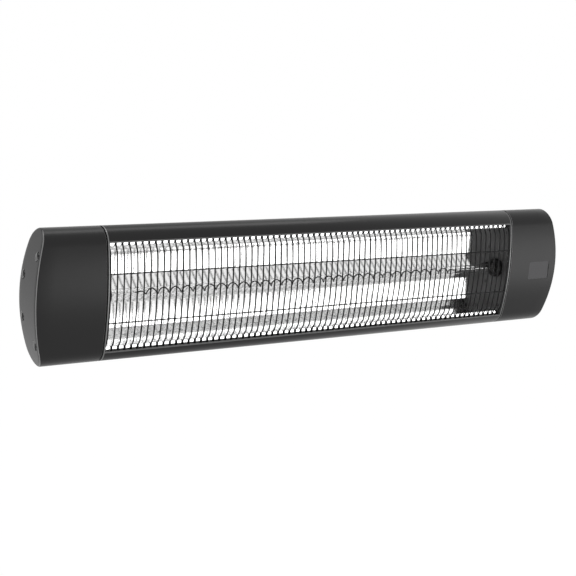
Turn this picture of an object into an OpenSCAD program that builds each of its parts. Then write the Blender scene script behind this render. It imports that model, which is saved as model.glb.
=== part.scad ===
// Wall-mounted electric bar heater: a lens-shaped aluminium body, a mirror trough with one
// quartz lamp, a wire guard, two arched end caps and a tilting wall bracket.
// Row frame: origin at the centre of the four wall screws, on the wall plane.
// The heater stands off towards -Y, +X is to the right seen from the front, +Z is up.

/* [Body] */
// Length of the heater over both end caps, at mid height
body_length = 867; // [820:1:920]
// Height of the heater
body_height = 180; // [175:1:200]
// Length of each end cap at mid height, with its end plate and gasket
cap_length = 98.5; // [88:0.5:112]
// Radius of the rounded top and bottom noses of the section
nose_r = 24.3; // [23:0.1:25.5]
// How far the curved front face stands ahead of the noses
front_crown = 6.7; // [5.5:0.1:8]
// How far the curved back stands behind the noses
back_crown = 5.4; // [5:0.1:7]
// Wall thickness of the extrusion
housing_wall = 2; // [1.6:0.1:2.4]
// Height of the closed band above and below the front opening
edge_band = 18; // [16:0.5:21]
// Thickness of the end plates that close the extrusion
plate_t = 1.5; // [1.2:0.1:2]
// Thickness of the recessed gasket between end plate and end cap
gasket_t = 2; // [1.5:0.1:3]

/* [End caps] */
// Radius of the arched end of each cap, seen from the front
cap_end_r = 274; // [220:1:400]
// Wall thickness of the caps
cap_wall = 3; // [2.5:0.1:3.5]
// Distance from the cap's front or back face to its screws
cap_screw_edge = 10; // [9.5:0.1:12]
// Distance from the top or bottom of the heater to the front cap screws
cap_screw_front_in = 31.5; // [28:0.5:35]
// Height of the two rear cap screws above and below the middle
cap_screw_back_z = 28; // [25:0.5:34]
// Thread radius of the cap screws
cap_screw_r = 2; // [1.6:0.1:2.4]
// Radius of the recess that hides each cap screw head
cap_recess_r = 5; // [4.4:0.1:5.4]
// Depth of that recess
cap_recess_depth = 5; // [4:0.1:7]
// Width of the receiver window
window_w = 41; // [34:0.5:48]
// Height of the receiver window
window_h = 28; // [22:0.5:36]
// Distance from the end cap's outer end to the middle of the window
window_from_end = 35.2; // [33:0.1:42]
// How far the middle of the window sits below mid height
window_drop = 2; // [0:0.5:6]

/* [Guard] */
// Distance from the end plates to the middle of the first and last upright wire
wire_margin = 10.7; // [5:0.1:14]
// Number of upright wires
wire_count = 70; // [60:1:70]
// Radius of the upright wires
wire_r = 1; // [0.8:0.05:1.2]
// Radius of the two long rails welded across them
rail_r = 0.9; // [0.7:0.05:1.1]
// Height of the rails above and below the middle
rail_z = 32.5; // [25:0.5:40]
// Depth of the wires' centre line behind the front face
wire_inset = 1.8; // [1.6:0.05:2.4]
// How far inside the opening's edges the wires bend back towards the body
bend_in = 12; // [11:0.5:16]
// Length of wire tucked behind each edge of the opening
tuck = 3; // [2:0.1:3.5]

/* [Lamp and reflector] */
// Lamp axis ahead of the nose centres
lamp_forward = 4; // [2:0.5:6]
// Outer radius of the quartz tube
quartz_r = 6; // [6:0.1:6.8]
// Wall of the quartz tube
quartz_wall = 0.8; // [0.6:0.05:0.8]
// Radius of the centre line of the wound heating strand
coil_r = 4; // [3.2:0.1:4]
// Thickness of the heating strand
strand_d = 1.8; // [1.4:0.1:1.8]
// Distance between turns of the strand
coil_pitch = 17.5; // [15:0.5:22]
// Distance from the left end plate to the start of the winding
coil_left_gap = 50.5; // [46:0.5:60]
// Distance from the right end plate to the end of the winding
coil_right_gap = 85; // [60:0.5:95]
// Radius of the lamp's ceramic ends
ceramic_r = 7; // [6.5:0.1:8]
// Radius of the black lamp holders
holder_r = 14.4; // [12:0.1:16]
// Depth of the lamp holders inside the trough
holder_depth = 10; // [8:0.5:14]
// Thickness of the mirror sheet
mirror_t = 0.8; // [0.5:0.05:1]
// How far the trough's mouth stands inside the opening's edges
mouth_in = 5.7; // [5:0.1:7]
// How far inside the opening's edges the shelves reach the trough's back
shelf_in = 18; // [17:0.5:20]
// Depth of the trough's back behind the nose centres
trough_back_y = 19; // [17:0.5:20]
// Half width of the ridge behind the lamp, at its foot
ridge_z = 19; // [16:0.5:22]
// How far the ridge stands ahead of the trough's back
ridge_height = 11; // [8:0.5:11]

/* [Wall bracket] */
// Gap between the heater's back and the wall
wall_gap = 50; // [44:0.5:60]
// Distance from the wall to the tilt pivots
pivot_from_wall = 22; // [20:0.5:26]
// Thickness of both brackets' steel
bracket_t = 2.5; // [2:0.1:3]
// Width of the wall bracket over its ears
bracket_w = 160; // [140:1:200]
// Height of the wall bracket
bracket_h = 60; // [54:1:70]
// Distance between wall screw holes, sideways
wall_hole_x = 120; // [100:1:120]
// Distance between wall screw holes, up and down
wall_hole_z = 36; // [30:1:40]
// Radius of the wall screw holes
wall_hole_r = 3.25; // [2.5:0.05:3.5]
// Radius of the pivot bolts
pivot_r = 3; // [2.5:0.1:3.5]
// Radius of the rounded ends of the ears
ear_r = 12; // [10:0.5:13]

/* [Controls] */
// Radius of the cable hole through the gland
gland_bore_r = 4.5; // [4:0.1:5]
// Width of the rocker switch's bezel
switch_w = 15; // [14:0.1:17]
// Height of the rocker switch's bezel
switch_h = 21; // [20:0.1:26]
// Angle between the two positions of the rocker
rocker_swing = 20; // [14:1:24]

/* [Hidden] */
$fn = 64;

// Overrun of every cut past the face that it starts from
cut = 1;
// Gap between pieces of different bodies, and between curved faces
gap = 0.3;
// Radial clearance of a shaft that turns in its hole
running = 0.05;
// Radial clearance of a pin that is pushed into its hole
snug = 0.02;

// Section of the body, seen along X: two nose arcs joined by wide front and back arcs
face_steps = 14;
nose_steps = 20;
nose_z = body_height / 2 - nose_r;
front_depth = nose_r + front_crown;
back_depth = nose_r + back_crown;
front_r = (front_depth ^ 2 + nose_z ^ 2 - nose_r ^ 2) / (2 * front_crown);
back_r = (back_depth ^ 2 + nose_z ^ 2 - nose_r ^ 2) / (2 * back_crown);
front_c = front_r - front_depth;
back_c = back_depth - back_r;
front_a = asin(nose_z / (front_r - nose_r));
back_a = asin(nose_z / (back_r - nose_r));

// Distance from the wall to the plane of the nose centres
body_y = wall_gap + back_depth;
housing_length = body_length - 2 * cap_length;
housing_half = housing_length / 2;
plate_x = housing_half + plate_t;
cap_x = plate_x + gasket_t;
body_half = body_length / 2;
opening_height = body_height - 2 * edge_band;
opening_half = opening_height / 2;
big_fn = 360;

function arc(cy, cz, r, a0, a1, n) =
    [for (i = [0:n]) let (a = a0 + (a1 - a0) * i / n) [cy + r * cos(a), cz + r * sin(a)]];
function lens_points(d) = concat(
    arc(back_c, 0, back_r - d, -back_a, back_a, face_steps),
    arc(0, nose_z, nose_r - d, back_a, 180 - front_a, nose_steps),
    arc(front_c, 0, front_r - d, 180 - front_a, 180 + front_a, face_steps),
    arc(0, -nose_z, nose_r - d, 180 + front_a, 360 - back_a, nose_steps));
// Depth of the front and back faces, and of the nose, at a height, inset by d
function front_y(z, d) = front_c - sqrt((front_r - d) ^ 2 - z ^ 2);
function back_y(z, d) = back_c + sqrt((back_r - d) ^ 2 - z ^ 2);
function nose_front_y(z, d) = -sqrt((nose_r - d) ^ 2 - (z - nose_z) ^ 2);

module lens(d) { polygon(lens_points(d)); }
// Extrudes a section drawn as [depth, height] along the heater, from x to x + length
module along_x(x, length) {
    translate([x, 0, 0]) rotate([90, 0, 90]) linear_extrude(length) children();
}
module rod_x(x, length, r) {
    translate([x, 0, 0]) rotate([0, 90, 0]) cylinder(h = length, r = r);
}
module rod_y(y, length, r) {
    translate([0, y, 0]) rotate([-90, 0, 0]) cylinder(h = length, r = r);
}
// A bar of hexagonal section along X, measured across its flats
module hex_x(x, length, flats) {
    translate([x, 0, 0]) rotate([0, 90, 0]) cylinder(h = length, d = flats / cos(30), $fn = 6);
}
module hex_y(y, length, flats) {
    translate([0, y, 0]) rotate([-90, 0, 0]) cylinder(h = length, d = flats / cos(30), $fn = 6);
}
module in_body() { translate([0, -body_y, 0]) children(); }
module on_left() { mirror([1, 0, 0]) children(); }
module both_z() {
    children();
    mirror([0, 0, 1]) children();
}
// The upper half of a section and its mirror image below
module both_halves() {
    children();
    mirror([0, 1]) children();
}
module both_x() {
    children();
    mirror([1, 0, 0]) children();
}

// Extruded housing: screw ports, rear rail for the bracket, ribs behind the mirror's flanges
port_outer_r = 4;
port_r = 1.7;
port_web = 2.4;
port_angle = 85;
back_port_in = 28;
back_port_z = body_height / 2 - back_port_in;
gasket_inset = 2;
gasket_band = 4;
plate_screw_head_r = 3.6;
port_inset = gasket_inset + gasket_band + plate_screw_head_r + gap;
port_ring_r = nose_r - port_inset;
nose_port = [port_ring_r * cos(port_angle), nose_z + port_ring_r * sin(port_angle)];
back_port = [back_y(back_port_z, port_inset), back_port_z];
ports = [nose_port, back_port];
rail_land = 1;
rail_lip = 2.5;
rail_slot = 4.2;
rail_floor = 1.8;
rail_mouth_half = 4.2;
rail_slot_half = 7.6;
rail_half = 9.6;
rail_y = back_depth + rail_land;
rail_inner_y = rail_y - rail_lip - rail_slot - rail_floor;

// Guard wires: centre line at the tucked ends, just inside the housing's front wall
tuck_z = opening_half + tuck;
bend_z = opening_half - bend_in;
wire_pitch = (housing_length - 2 * wire_margin) / (wire_count - 1);
tuck_y = nose_front_y(tuck_z, housing_wall) + wire_r + gap;
wire_arc_r = front_r - wire_inset;
bend_y = front_y(bend_z, wire_inset);
bend_run = 7;
rail_sink = 0.3;
rail_centre_y = front_y(rail_z, wire_inset) - wire_r - rail_r + rail_sink;

// Mirror trough: front surface of the sheet, from the flange to the middle
flange_y = tuck_y + wire_r + gap;
flange_z = tuck_z + 2 * wire_r;
shelf_fold_y = 4;
shelf_fold_drop = 8;
mouth_z = opening_half - mouth_in;
trough_back_z = opening_half - shelf_in;
trough_half = [
    [flange_y, flange_z], [flange_y, mouth_z], [shelf_fold_y, mouth_z - shelf_fold_drop],
    [trough_back_y, trough_back_z], [trough_back_y, ridge_z]
];
trough = concat(trough_half, [[trough_back_y - ridge_height, 0]], [
    for (i = [len(trough_half) - 1:-1:0]) [trough_half[i][0], -trough_half[i][1]]
]);
rib_t = 1.6;
rib_y = flange_y + mirror_t + snug;
rib_low_z = opening_half + tuck / 2;

function unit_normal(p, q) = let (d = q - p) [-d[1], d[0]] / norm(d);
// Offset of a corner of an open line, mitred between its two sides
function mitre(line, i, t) = let (
    last = len(line) - 1,
    n1 = unit_normal(line[max(i - 1, 0)], line[max(i, 1)]),
    n2 = unit_normal(line[min(i, last - 1)], line[min(i + 1, last)]))
    line[i] + t * (n1 + n2) / (1 + n1 * n2);
function sheet_points(line, t) =
    concat(line, [for (i = [len(line) - 1:-1:0]) mitre(line, i, t)]);

module housing_section() {
    difference() {
        union() {
            difference() {
                lens(0);
                lens(housing_wall);
                translate([-front_depth - cut, -opening_half])
                    square([front_depth + cut, opening_height]);
            }
            intersection() {
                lens(housing_wall / 2);
                both_halves() {
                    for (p = ports) translate(p) circle(port_outer_r);
                    translate(nose_port - [port_web / 2, 0]) square([port_web, body_height]);
                    translate(back_port - [0, port_web / 2]) square([back_depth, port_web]);
                    translate([rib_y, rib_low_z]) square([rib_t, body_height]);
                }
            }
            translate([rail_inner_y, -rail_half]) square([rail_y - rail_inner_y, 2 * rail_half]);
        }
        both_halves() for (p = ports) translate(p) circle(port_r);
        translate([rail_inner_y + rail_floor, -rail_slot_half])
            square([rail_slot, 2 * rail_slot_half]);
        translate([rail_inner_y + rail_floor, -rail_mouth_half])
            square([rail_slot + rail_lip + cut, 2 * rail_mouth_half]);
    }
}
module housing() {
    color("#2e2e30") in_body() along_x(-housing_half, housing_length) housing_section();
}

// The sheet is cut away round the lamp holders
module reflector() {
    color("#dcdcde") in_body() difference() {
        along_x(-housing_half, housing_length) polygon(sheet_points(trough, mirror_t));
        both_x() translate([0, -lamp_forward, 0])
            rod_x(housing_half - holder_depth - gap, holder_depth + gap + cut, holder_r + gap);
    }
}

// One upright guard wire: an arc across the front, bent back and tucked in at both ends
module guard_wire() {
    bow = asin(bend_z / wire_arc_r);
    slant = [tuck_y - bend_y, bend_run];
    translate([0, front_c, 0]) rotate([90, 0, 90]) rotate([0, 0, 180 - bow])
        rotate_extrude(angle = 2 * bow) translate([wire_arc_r, 0]) circle(wire_r, $fn = 24);
    both_z() {
        translate([0, bend_y, bend_z]) sphere(wire_r, $fn = 24);
        translate([0, bend_y, bend_z]) rotate([-atan2(slant[0], slant[1]), 0, 0])
            cylinder(h = norm(slant), r = wire_r, $fn = 24);
        translate([0, tuck_y, bend_z + bend_run]) {
            sphere(wire_r, $fn = 24);
            cylinder(h = tuck_z - bend_z - bend_run, r = wire_r, $fn = 24);
        }
    }
}
module guard_grille() {
    rail_half_length = (wire_count - 1) * wire_pitch / 2 + 3 * wire_r;
    color("#303032") in_body() {
        for (i = [0:wire_count - 1])
            translate([(i - (wire_count - 1) / 2) * wire_pitch, 0, 0]) guard_wire();
        both_z() translate([0, rail_centre_y, rail_z])
            rod_x(-rail_half_length, 2 * rail_half_length, rail_r, $fn = 24);
    }
}

// Places of the cap screws, as [depth, height]
cap_screw_front_z = body_height / 2 - cap_screw_front_in;
cap_screw_places = [
    for (s = [-1, 1]) [front_y(cap_screw_front_z, cap_screw_edge), s * cap_screw_front_z],
    for (s = [-1, 1]) [back_y(cap_screw_back_z, cap_screw_edge), s * cap_screw_back_z]
];
// Where the arched end of a cap lies, at a height
function cap_end_x(z) = body_half - cap_end_r + sqrt(cap_end_r ^ 2 - z ^ 2);
boss_r = 6.2;
boss_floor = 3;
function screw_seat_x(z) = cap_end_x(abs(z)) - cap_recess_depth;
function pillar_end_x(z) = screw_seat_x(z) - boss_floor;

// End plates: the full section, with holes for screws, pillars, lamp and wires
plate_screw_r = 1.95;
plate_screw_core_r = port_r - snug;
plate_screw_head_t = 2.4;
plate_screw_length = 14;
pillar_r = 4;
pillar_thread = 14;
spigot_r = 2.5;
wire_hole_r = 4;
wire_hole_y = 9;
wire_hole_in = 18;
wire_hole_z = body_height / 2 - wire_hole_in;
holder_spigot_r = 10;
holder_spigot = 9;

module end_plate() {
    color("#8f9092") difference() {
        along_x(housing_half, plate_t) lens(0);
        for (s = [-1, 1]) for (p = ports)
            translate([0, p[0], s * p[1]]) rod_x(housing_half - cut, plate_t + 2 * cut, plate_screw_r);
        for (p = cap_screw_places)
            translate([0, p[0], p[1]]) rod_x(housing_half - cut, plate_t + 2 * cut, spigot_r + snug);
        translate([0, -lamp_forward, 0])
            rod_x(housing_half - cut, plate_t + 2 * cut, holder_spigot_r + snug);
        translate([0, wire_hole_y, -wire_hole_z])
            rod_x(housing_half - cut, plate_t + 2 * cut, wire_hole_r);
    }
}
module plate_screws() {
    color("#b4b4b8") for (s = [-1, 1]) for (p = ports) translate([0, p[0], s * p[1]]) {
        difference() {
            rod_x(plate_x, plate_screw_head_t, plate_screw_head_r);
            hex_x(plate_x + plate_screw_head_t / 2, plate_screw_head_t, plate_screw_head_r);
        }
        rod_x(plate_x - plate_screw_length, plate_screw_length, plate_screw_core_r);
    }
}
module gasket() {
    color("#0c0c0c") along_x(plate_x, gasket_t) difference() {
        lens(gasket_inset);
        lens(gasket_inset + gasket_band);
    }
}

// The outside of a cap, made smaller by d on every side but its open one
module cap_form(d) {
    intersection() {
        along_x(cap_x - (d > 0 ? cut : 0), body_half - cap_x + cut) lens(d);
        translate([body_half - cap_end_r, 0, 0]) rotate([90, 0, 0])
            cylinder(h = 3 * front_depth, r = cap_end_r - d, center = true, $fn = big_fn);
    }
}
module cap_blank() {
    difference() {
        union() {
            difference() {
                cap_form(0);
                cap_form(cap_wall);
            }
            intersection() {
                cap_form(cap_wall / 2);
                for (p = cap_screw_places) translate([0, p[0], p[1]])
                    rod_x(pillar_end_x(p[1]), body_half, boss_r);
            }
        }
        for (p = cap_screw_places) translate([0, p[0], p[1]]) {
            rod_x(pillar_end_x(p[1]) - cut, boss_floor + 2 * cut, cap_screw_r + snug);
            rod_x(screw_seat_x(p[1]), body_half, cap_recess_r);
        }
    }
}
module cap_pillars() {
    color("#b9b9bd") for (p = cap_screw_places) translate([0, p[0], p[1]]) difference() {
        union() {
            hex_x(plate_x, pillar_end_x(p[1]) - plate_x, 2 * pillar_r * cos(30));
            rod_x(housing_half, plate_t + cut, spigot_r);
        }
        rod_x(pillar_end_x(p[1]) - pillar_thread, pillar_thread + cut, cap_screw_r + snug);
    }
}
cap_screw_grip = 10;
cap_screw_head_r = 3.8;
cap_screw_head_t = 3;
cap_screw_socket = 3;
module cap_screws() {
    color("#19191a") for (p = cap_screw_places) translate([0, p[0], p[1]]) difference() {
        union() {
            rod_x(screw_seat_x(p[1]), cap_screw_head_t, cap_screw_head_r);
            rod_x(pillar_end_x(p[1]) - cap_screw_grip, cap_screw_grip + boss_floor + cut, cap_screw_r);
        }
        hex_x(screw_seat_x(p[1]) + cap_screw_head_t / 2, cap_screw_head_t, cap_screw_socket);
    }
}

// Lamp: quartz tube, wound strand, leads, ceramic ends and holders
ceramic_length = 30;
lead_stub = 14;
quartz_half = housing_half - holder_depth;
lead_r = 0.8;
function ease(t) = let (c = max(0, min(1, t))) c * c * (3 - 2 * c);
coil_start = housing_half - coil_left_gap;
coil_end = housing_half - coil_right_gap;
coil_turns = (coil_start + coil_end) / coil_pitch;
rings_per_curl = 8;
strand_sides = 6;
coil_rings = ceil(coil_turns * rings_per_curl);
// The winding closes onto the axis over its first and last turn
function coil_point(i) = let (
    t = i / coil_rings,
    turn = t * coil_turns,
    r = coil_r * ease(min(turn, coil_turns - turn)))
    [-coil_start + t * (coil_start + coil_end), r * cos(360 * turn), r * sin(360 * turn)];
coil_line = concat(
    [[-coil_start - 2 * strand_d, 0, 0], [-coil_start - strand_d, 0, 0]],
    [for (i = [0:coil_rings]) coil_point(i)],
    [[coil_end + strand_d, 0, 0], [coil_end + 2 * strand_d, 0, 0]]);
// Ring of a tube at point i of a line, turned about a reference direction
function ring_at(line, i, r, sides, ref) = let (
    last = len(line) - 1,
    d = line[min(i + 1, last)] - line[max(i - 1, 0)],
    f = d / norm(d),
    side = cross(f, ref) / norm(cross(f, ref)),
    up = cross(side, f))
    [for (k = [0:sides - 1]) let (a = 360 * k / sides) line[i] + r * (cos(a) * side + sin(a) * up)];
// One closed tube along a line, with flat ends square to it
module tube_along(line, r, sides, ref) {
    n = len(line);
    m = sides;
    points = [for (i = [0:n - 1]) each ring_at(line, i, r, m, ref)];
    walls = [for (i = [0:n - 2]) for (k = [0:m - 1]) let (a = i * m + k, b = i * m + (k + 1) % m)
        each [[a, b, a + m], [b, b + m, a + m]]];
    ends = [for (k = [1:m - 2])
        each [[0, k + 1, k], [(n - 1) * m, (n - 1) * m + k, (n - 1) * m + k + 1]]];
    polyhedron(points = points, faces = concat(walls, ends));
}
// Least clear distance between one turn of the strand and the next
coil_last = len(coil_line) - 1;
coil_gap = min([for (i = [0:coil_last])
    for (j = [i + rings_per_curl / 2:1:min(i + 2 * rings_per_curl, coil_last)])
        norm(coil_line[i] - coil_line[j])]) - strand_d;
echo(coil_gap_mm = coil_gap);

module on_lamp() { in_body() translate([0, -lamp_forward, 0]) children(); }
module quartz_tube() {
    color("#dfe6ea", 0.35) on_lamp() difference() {
        rod_x(-quartz_half, 2 * quartz_half, quartz_r);
        rod_x(-quartz_half - cut, 2 * quartz_half + 2 * cut, quartz_r - quartz_wall);
    }
}
module filament() {
    color("#3a3a3c") on_lamp() tube_along(coil_line, strand_d / 2, strand_sides, [0, 0, 1]);
}
module lamp_leads() {
    color("#cfcfd2") on_lamp() {
        rod_x(-quartz_half, quartz_half - coil_start - 2 * strand_d, lead_r);
        rod_x(coil_end + 2 * strand_d, quartz_half - coil_end - 2 * strand_d, lead_r);
    }
}
module lamp_end() {
    color("#efece4") translate([0, -lamp_forward, 0]) {
        rod_x(quartz_half, ceramic_length, ceramic_r);
        rod_x(quartz_half + ceramic_length, lead_stub, lead_r);
    }
}
module lamp_holder() {
    color("#141415") translate([0, -lamp_forward, 0]) difference() {
        union() {
            rod_x(housing_half - holder_depth, holder_depth, holder_r);
            rod_x(housing_half - cut, holder_spigot + plate_t + cut, holder_spigot_r);
        }
        rod_x(housing_half - holder_depth - cut, holder_depth + holder_spigot + plate_t + 2 * cut,
            ceramic_r + snug);
    }
}

// A line with each inner corner rounded over a reach b, in n steps
function rounded(line, b, n) = [
    line[0],
    for (i = [1:len(line) - 2]) let (
        u = line[i - 1] - line[i], v = line[i + 1] - line[i],
        p = line[i] + u / norm(u) * min(b, norm(u) / 3),
        q = line[i] + v / norm(v) * min(b, norm(v) / 3))
        for (k = [0:n]) let (t = k / n) (1 - t) ^ 2 * p + 2 * t * (1 - t) * line[i] + t ^ 2 * q,
    line[len(line) - 1]];
// An insulated wire through a list of corner points, with flat ends and round corners
wire_r_inside = 1.6;
lead_end_x = quartz_half + ceramic_length + lead_stub;
lead_bend = 10;
wire_sides = 8;
corner_steps = 4;
// A slanting direction that no wire runs along
slanting = [1, 2, 3];
module wire_run(points, r) {
    tube_along(rounded(points, lead_bend, corner_steps), r, wire_sides, slanting);
}
module return_wire() {
    turn_x = plate_x + block_depth + lead_bend;
    way_z = block_z - block_way;
    color("#b8b2a6") in_body() wire_run([
        [-lead_end_x, -lamp_forward, 0],
        [-lead_end_x - lead_bend, -lamp_forward, 0],
        [-lead_end_x - lead_bend, wire_hole_y, -wire_hole_z],
        [turn_x, wire_hole_y, -wire_hole_z],
        [turn_x, block_y + block_w / 4, way_z],
        [plate_x + block_depth, block_y + block_w / 4, way_z]
    ], wire_r_inside);
}
grommet_lip = 1.5;
module wire_grommets() {
    color("#101010") in_body() both_x() translate([0, wire_hole_y, -wire_hole_z]) difference() {
        union() {
            rod_x(housing_half, plate_t, wire_hole_r - snug);
            rod_x(plate_x, grommet_lip, wire_hole_r + grommet_lip);
        }
        rod_x(housing_half - cut, plate_t + grommet_lip + 2 * cut, wire_r_inside + snug);
    }
}

// Receiver window: a tinted plate let into the front of the right cap
window_t = 1.2;
window_set_in = 0.3;
window_ledge = 2;
window_corner_r = 1.5;
window_x = body_half - window_from_end;
window_back_y = front_y(window_drop + window_h / 2, 0) + window_set_in + window_t;
// A plate with round corners, facing the front, from depth y backwards
module front_plate(w, h, r, y, t) {
    translate([window_x, y, -window_drop]) rotate([-90, 0, 0]) linear_extrude(t) {
        square([w - 2 * r, h], center = true);
        square([w, h - 2 * r], center = true);
        for (sx = [-1, 1]) for (sz = [-1, 1])
            translate([sx * (w / 2 - r), sz * (h / 2 - r)]) circle(r);
    }
}
module receiver_window() {
    color("#565560", 0.9) in_body()
        front_plate(window_w - 2 * snug, window_h - 2 * snug, window_corner_r,
            window_back_y - window_t, window_t);
}

// Control board behind the window, on four posts of the cap
board_w = 62;
board_h = 66;
board_t = 1.6;
board_stand_off = 10;
board_shift = 9;
board_y = window_back_y + board_stand_off;
board_x = window_x - board_shift;
board_corner = 4;
board_hole_r = 1.6;
post_r = 3;
post_hole_r = 1.25;
post_hole_depth = 7;
board_screw_head_r = 2.6;
board_screw_head_t = 1.8;
module at_board_corners() {
    for (sx = [-1, 1]) for (sz = [-1, 1])
        translate([
            board_x + sx * (board_w / 2 - board_corner), 0,
            -window_drop + sz * (board_h / 2 - board_corner)
        ]) children();
}
module control_board() {
    color("#1f5a35") in_body() difference() {
        translate([board_x - board_w / 2, board_y, -window_drop - board_h / 2])
            cube([board_w, board_t, board_h]);
        at_board_corners() rod_y(board_y - cut, board_t + 2 * cut, board_hole_r);
    }
}
module board_screws() {
    color("#c0c0c4") in_body() at_board_corners() {
        rod_y(board_y + board_t, board_screw_head_t, board_screw_head_r);
        rod_y(board_y - post_hole_depth + cut, post_hole_depth + board_t, post_hole_r - snug);
    }
}
receiver_size = 9;
receiver_t = 3;
receiver_dome_r = 2.5;
module ir_receiver() {
    color("#0b0b0d") in_body() translate([window_x, 0, -window_drop]) {
        translate([-receiver_size / 2, board_y - receiver_t, -receiver_size / 2])
            cube([receiver_size, receiver_t, receiver_size]);
        rod_y(board_y - receiver_t - receiver_dome_r, receiver_dome_r + cut, receiver_dome_r);
    }
}
relay_w = 15;
relay_h = 19;
relay_t = 15;
relay_shift = 13;
relay_x = board_x + relay_shift;
relay_z = 17;
part_y = board_y + board_t;
module relays() {
    color("#22242a") in_body() for (s = [-1, 1])
        translate([relay_x - relay_w / 2, part_y, s * relay_z - relay_h / 2])
            cube([relay_w, relay_t, relay_h]);
}
capacitor_r = 6;
capacitor_t = 14;
capacitor_shift = 17;
capacitor_drop = 22;
module capacitor() {
    color("#3f5fa0") in_body() translate([board_x - capacitor_shift, 0, -capacitor_drop])
        rod_y(part_y, capacitor_t, capacitor_r);
}

// Terminal block and thermal cut-out on the right end plate
block_depth = 16;
block_w = 14;
block_h = 34;
block_y = 1;
block_rise = 23;
block_z = block_rise - wire_hole_z;
block_ways = 3;
block_way = 10.5;
block_hole_r = 2;
module terminal_block() {
    color("#d8d4c8") in_body() difference() {
        translate([plate_x, block_y - block_w / 2, block_z - block_h / 2])
            cube([block_depth, block_w, block_h]);
        for (i = [0:block_ways - 1]) translate([0, block_y - block_w / 4, block_z + (i - 1) * block_way])
            rod_x(plate_x + block_depth / 2, block_depth, block_hole_r);
    }
}
cutout_y = 2;
cutout_z = 44;
cutout_r = 8;
cutout_t = 9;
tab_length = 8;
tab_t = 0.8;
tab_w = 4;
tab_spacing = 8;
module thermal_cutout() {
    color("#1b1b1d") in_body() translate([0, cutout_y, cutout_z]) {
        rod_x(plate_x, cutout_t, cutout_r);
        for (s = [-1, 1]) translate([plate_x + cutout_t - cut, -tab_t / 2, s * tab_spacing / 2 - tab_w / 2])
            cube([tab_length + cut, tab_t, tab_w]);
    }
}
module inner_wires() {
    tab_x = plate_x + cutout_t + tab_length;
    relay_y = part_y + relay_t;
    block_face_x = plate_x + block_depth;
    turn = lead_bend;
    color("#d9d9d6") in_body() {
        wire_run([[lead_end_x, -lamp_forward, 0], [lead_end_x + turn / 2, -lamp_forward, 0],
            [lead_end_x + turn / 2, cutout_y, cutout_z - tab_spacing / 2],
            [tab_x, cutout_y, cutout_z - tab_spacing / 2]], wire_r_inside);
        wire_run([[tab_x, cutout_y, cutout_z + tab_spacing / 2],
            [relay_x - turn, cutout_y, cutout_z + tab_spacing / 2],
            [relay_x, relay_y + turn, relay_z], [relay_x, relay_y, relay_z]], wire_r_inside);
        wire_run([[relay_x, relay_y, -relay_z], [relay_x, relay_y + turn / 2, -relay_z],
            [block_face_x + turn, block_y, block_z], [block_face_x, block_y, block_z]], wire_r_inside);
        wire_run([[switch_back_x - tab_length, switch_y, -switch_tab_z],
            [switch_back_x - tab_length - turn, switch_y, -switch_tab_z],
            [block_face_x + turn, block_y + block_w / 4, block_z + block_way],
            [block_face_x, block_y + block_w / 4, block_z + block_way]], wire_r_inside);
    }
}

// Rocker switch in the end of the right cap
switch_y = 4;
switch_set_in = 1;
switch_x = body_half - switch_set_in;
bezel_t = 1.8;
bezel_rim = 1.5;
bezel_step = 0.8;
switch_depth = 15;
switch_cavity = 10;
switch_back_x = switch_x - switch_depth;
switch_tab_z = 5;
rocker_pivot_in = 1;
rocker_pivot_x = switch_x - rocker_pivot_in;
rocker_pin_r = 1.4;
rocker_side_gap = gap;
rocker_end_gap = 0.9;
cavity_half_h = switch_h / 2 - bezel_rim;
cavity_half_w = switch_w / 2 - bezel_rim - bezel_step;
rocker_half_h = cavity_half_h - rocker_end_gap;
rocker_half_w = cavity_half_w - rocker_side_gap;
rocker_top = 2.6;
rocker_deep = 3;
rocker_edge = 1.2;
module switch_housing() {
    color("#111112") in_body() translate([0, switch_y, 0]) difference() {
        union() {
            translate([switch_x, -switch_w / 2, -switch_h / 2]) cube([bezel_t, switch_w, switch_h]);
            translate([switch_back_x, -switch_w / 2 + bezel_step, -switch_h / 2 + bezel_step])
                cube([switch_depth + cut, switch_w - 2 * bezel_step, switch_h - 2 * bezel_step]);
            for (s = [-1, 1])
                translate([switch_back_x - tab_length, -tab_w / 2, s * switch_tab_z - tab_t / 2])
                    cube([tab_length + cut, tab_w, tab_t]);
        }
        translate([switch_x + bezel_t - switch_cavity, -cavity_half_w, -cavity_half_h])
            cube([switch_cavity + cut, 2 * cavity_half_w, 2 * cavity_half_h]);
        translate([rocker_pivot_x, 0, 0]) rod_y(-switch_w, 2 * switch_w, rocker_pin_r + running);
    }
}
module switch_rocker() {
    rise = rocker_half_h * tan(rocker_swing / 2);
    color("#1d1d1f") in_body() translate([rocker_pivot_x, switch_y, 0]) rotate([0, -rocker_swing / 2, 0]) {
        translate([0, rocker_half_w, 0]) rotate([90, 0, 0]) linear_extrude(2 * rocker_half_w) polygon([
            [rocker_top, 0], [rocker_top + rise, rocker_half_h], [rocker_edge, rocker_half_h],
            [-rocker_deep, rocker_half_h / 2], [-rocker_deep, -rocker_half_h / 2],
            [rocker_edge, -rocker_half_h], [rocker_top + rise, -rocker_half_h]]);
        rod_y(-rocker_half_w - bezel_step, 2 * (rocker_half_w + bezel_step), rocker_pin_r);
    }
}

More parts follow.
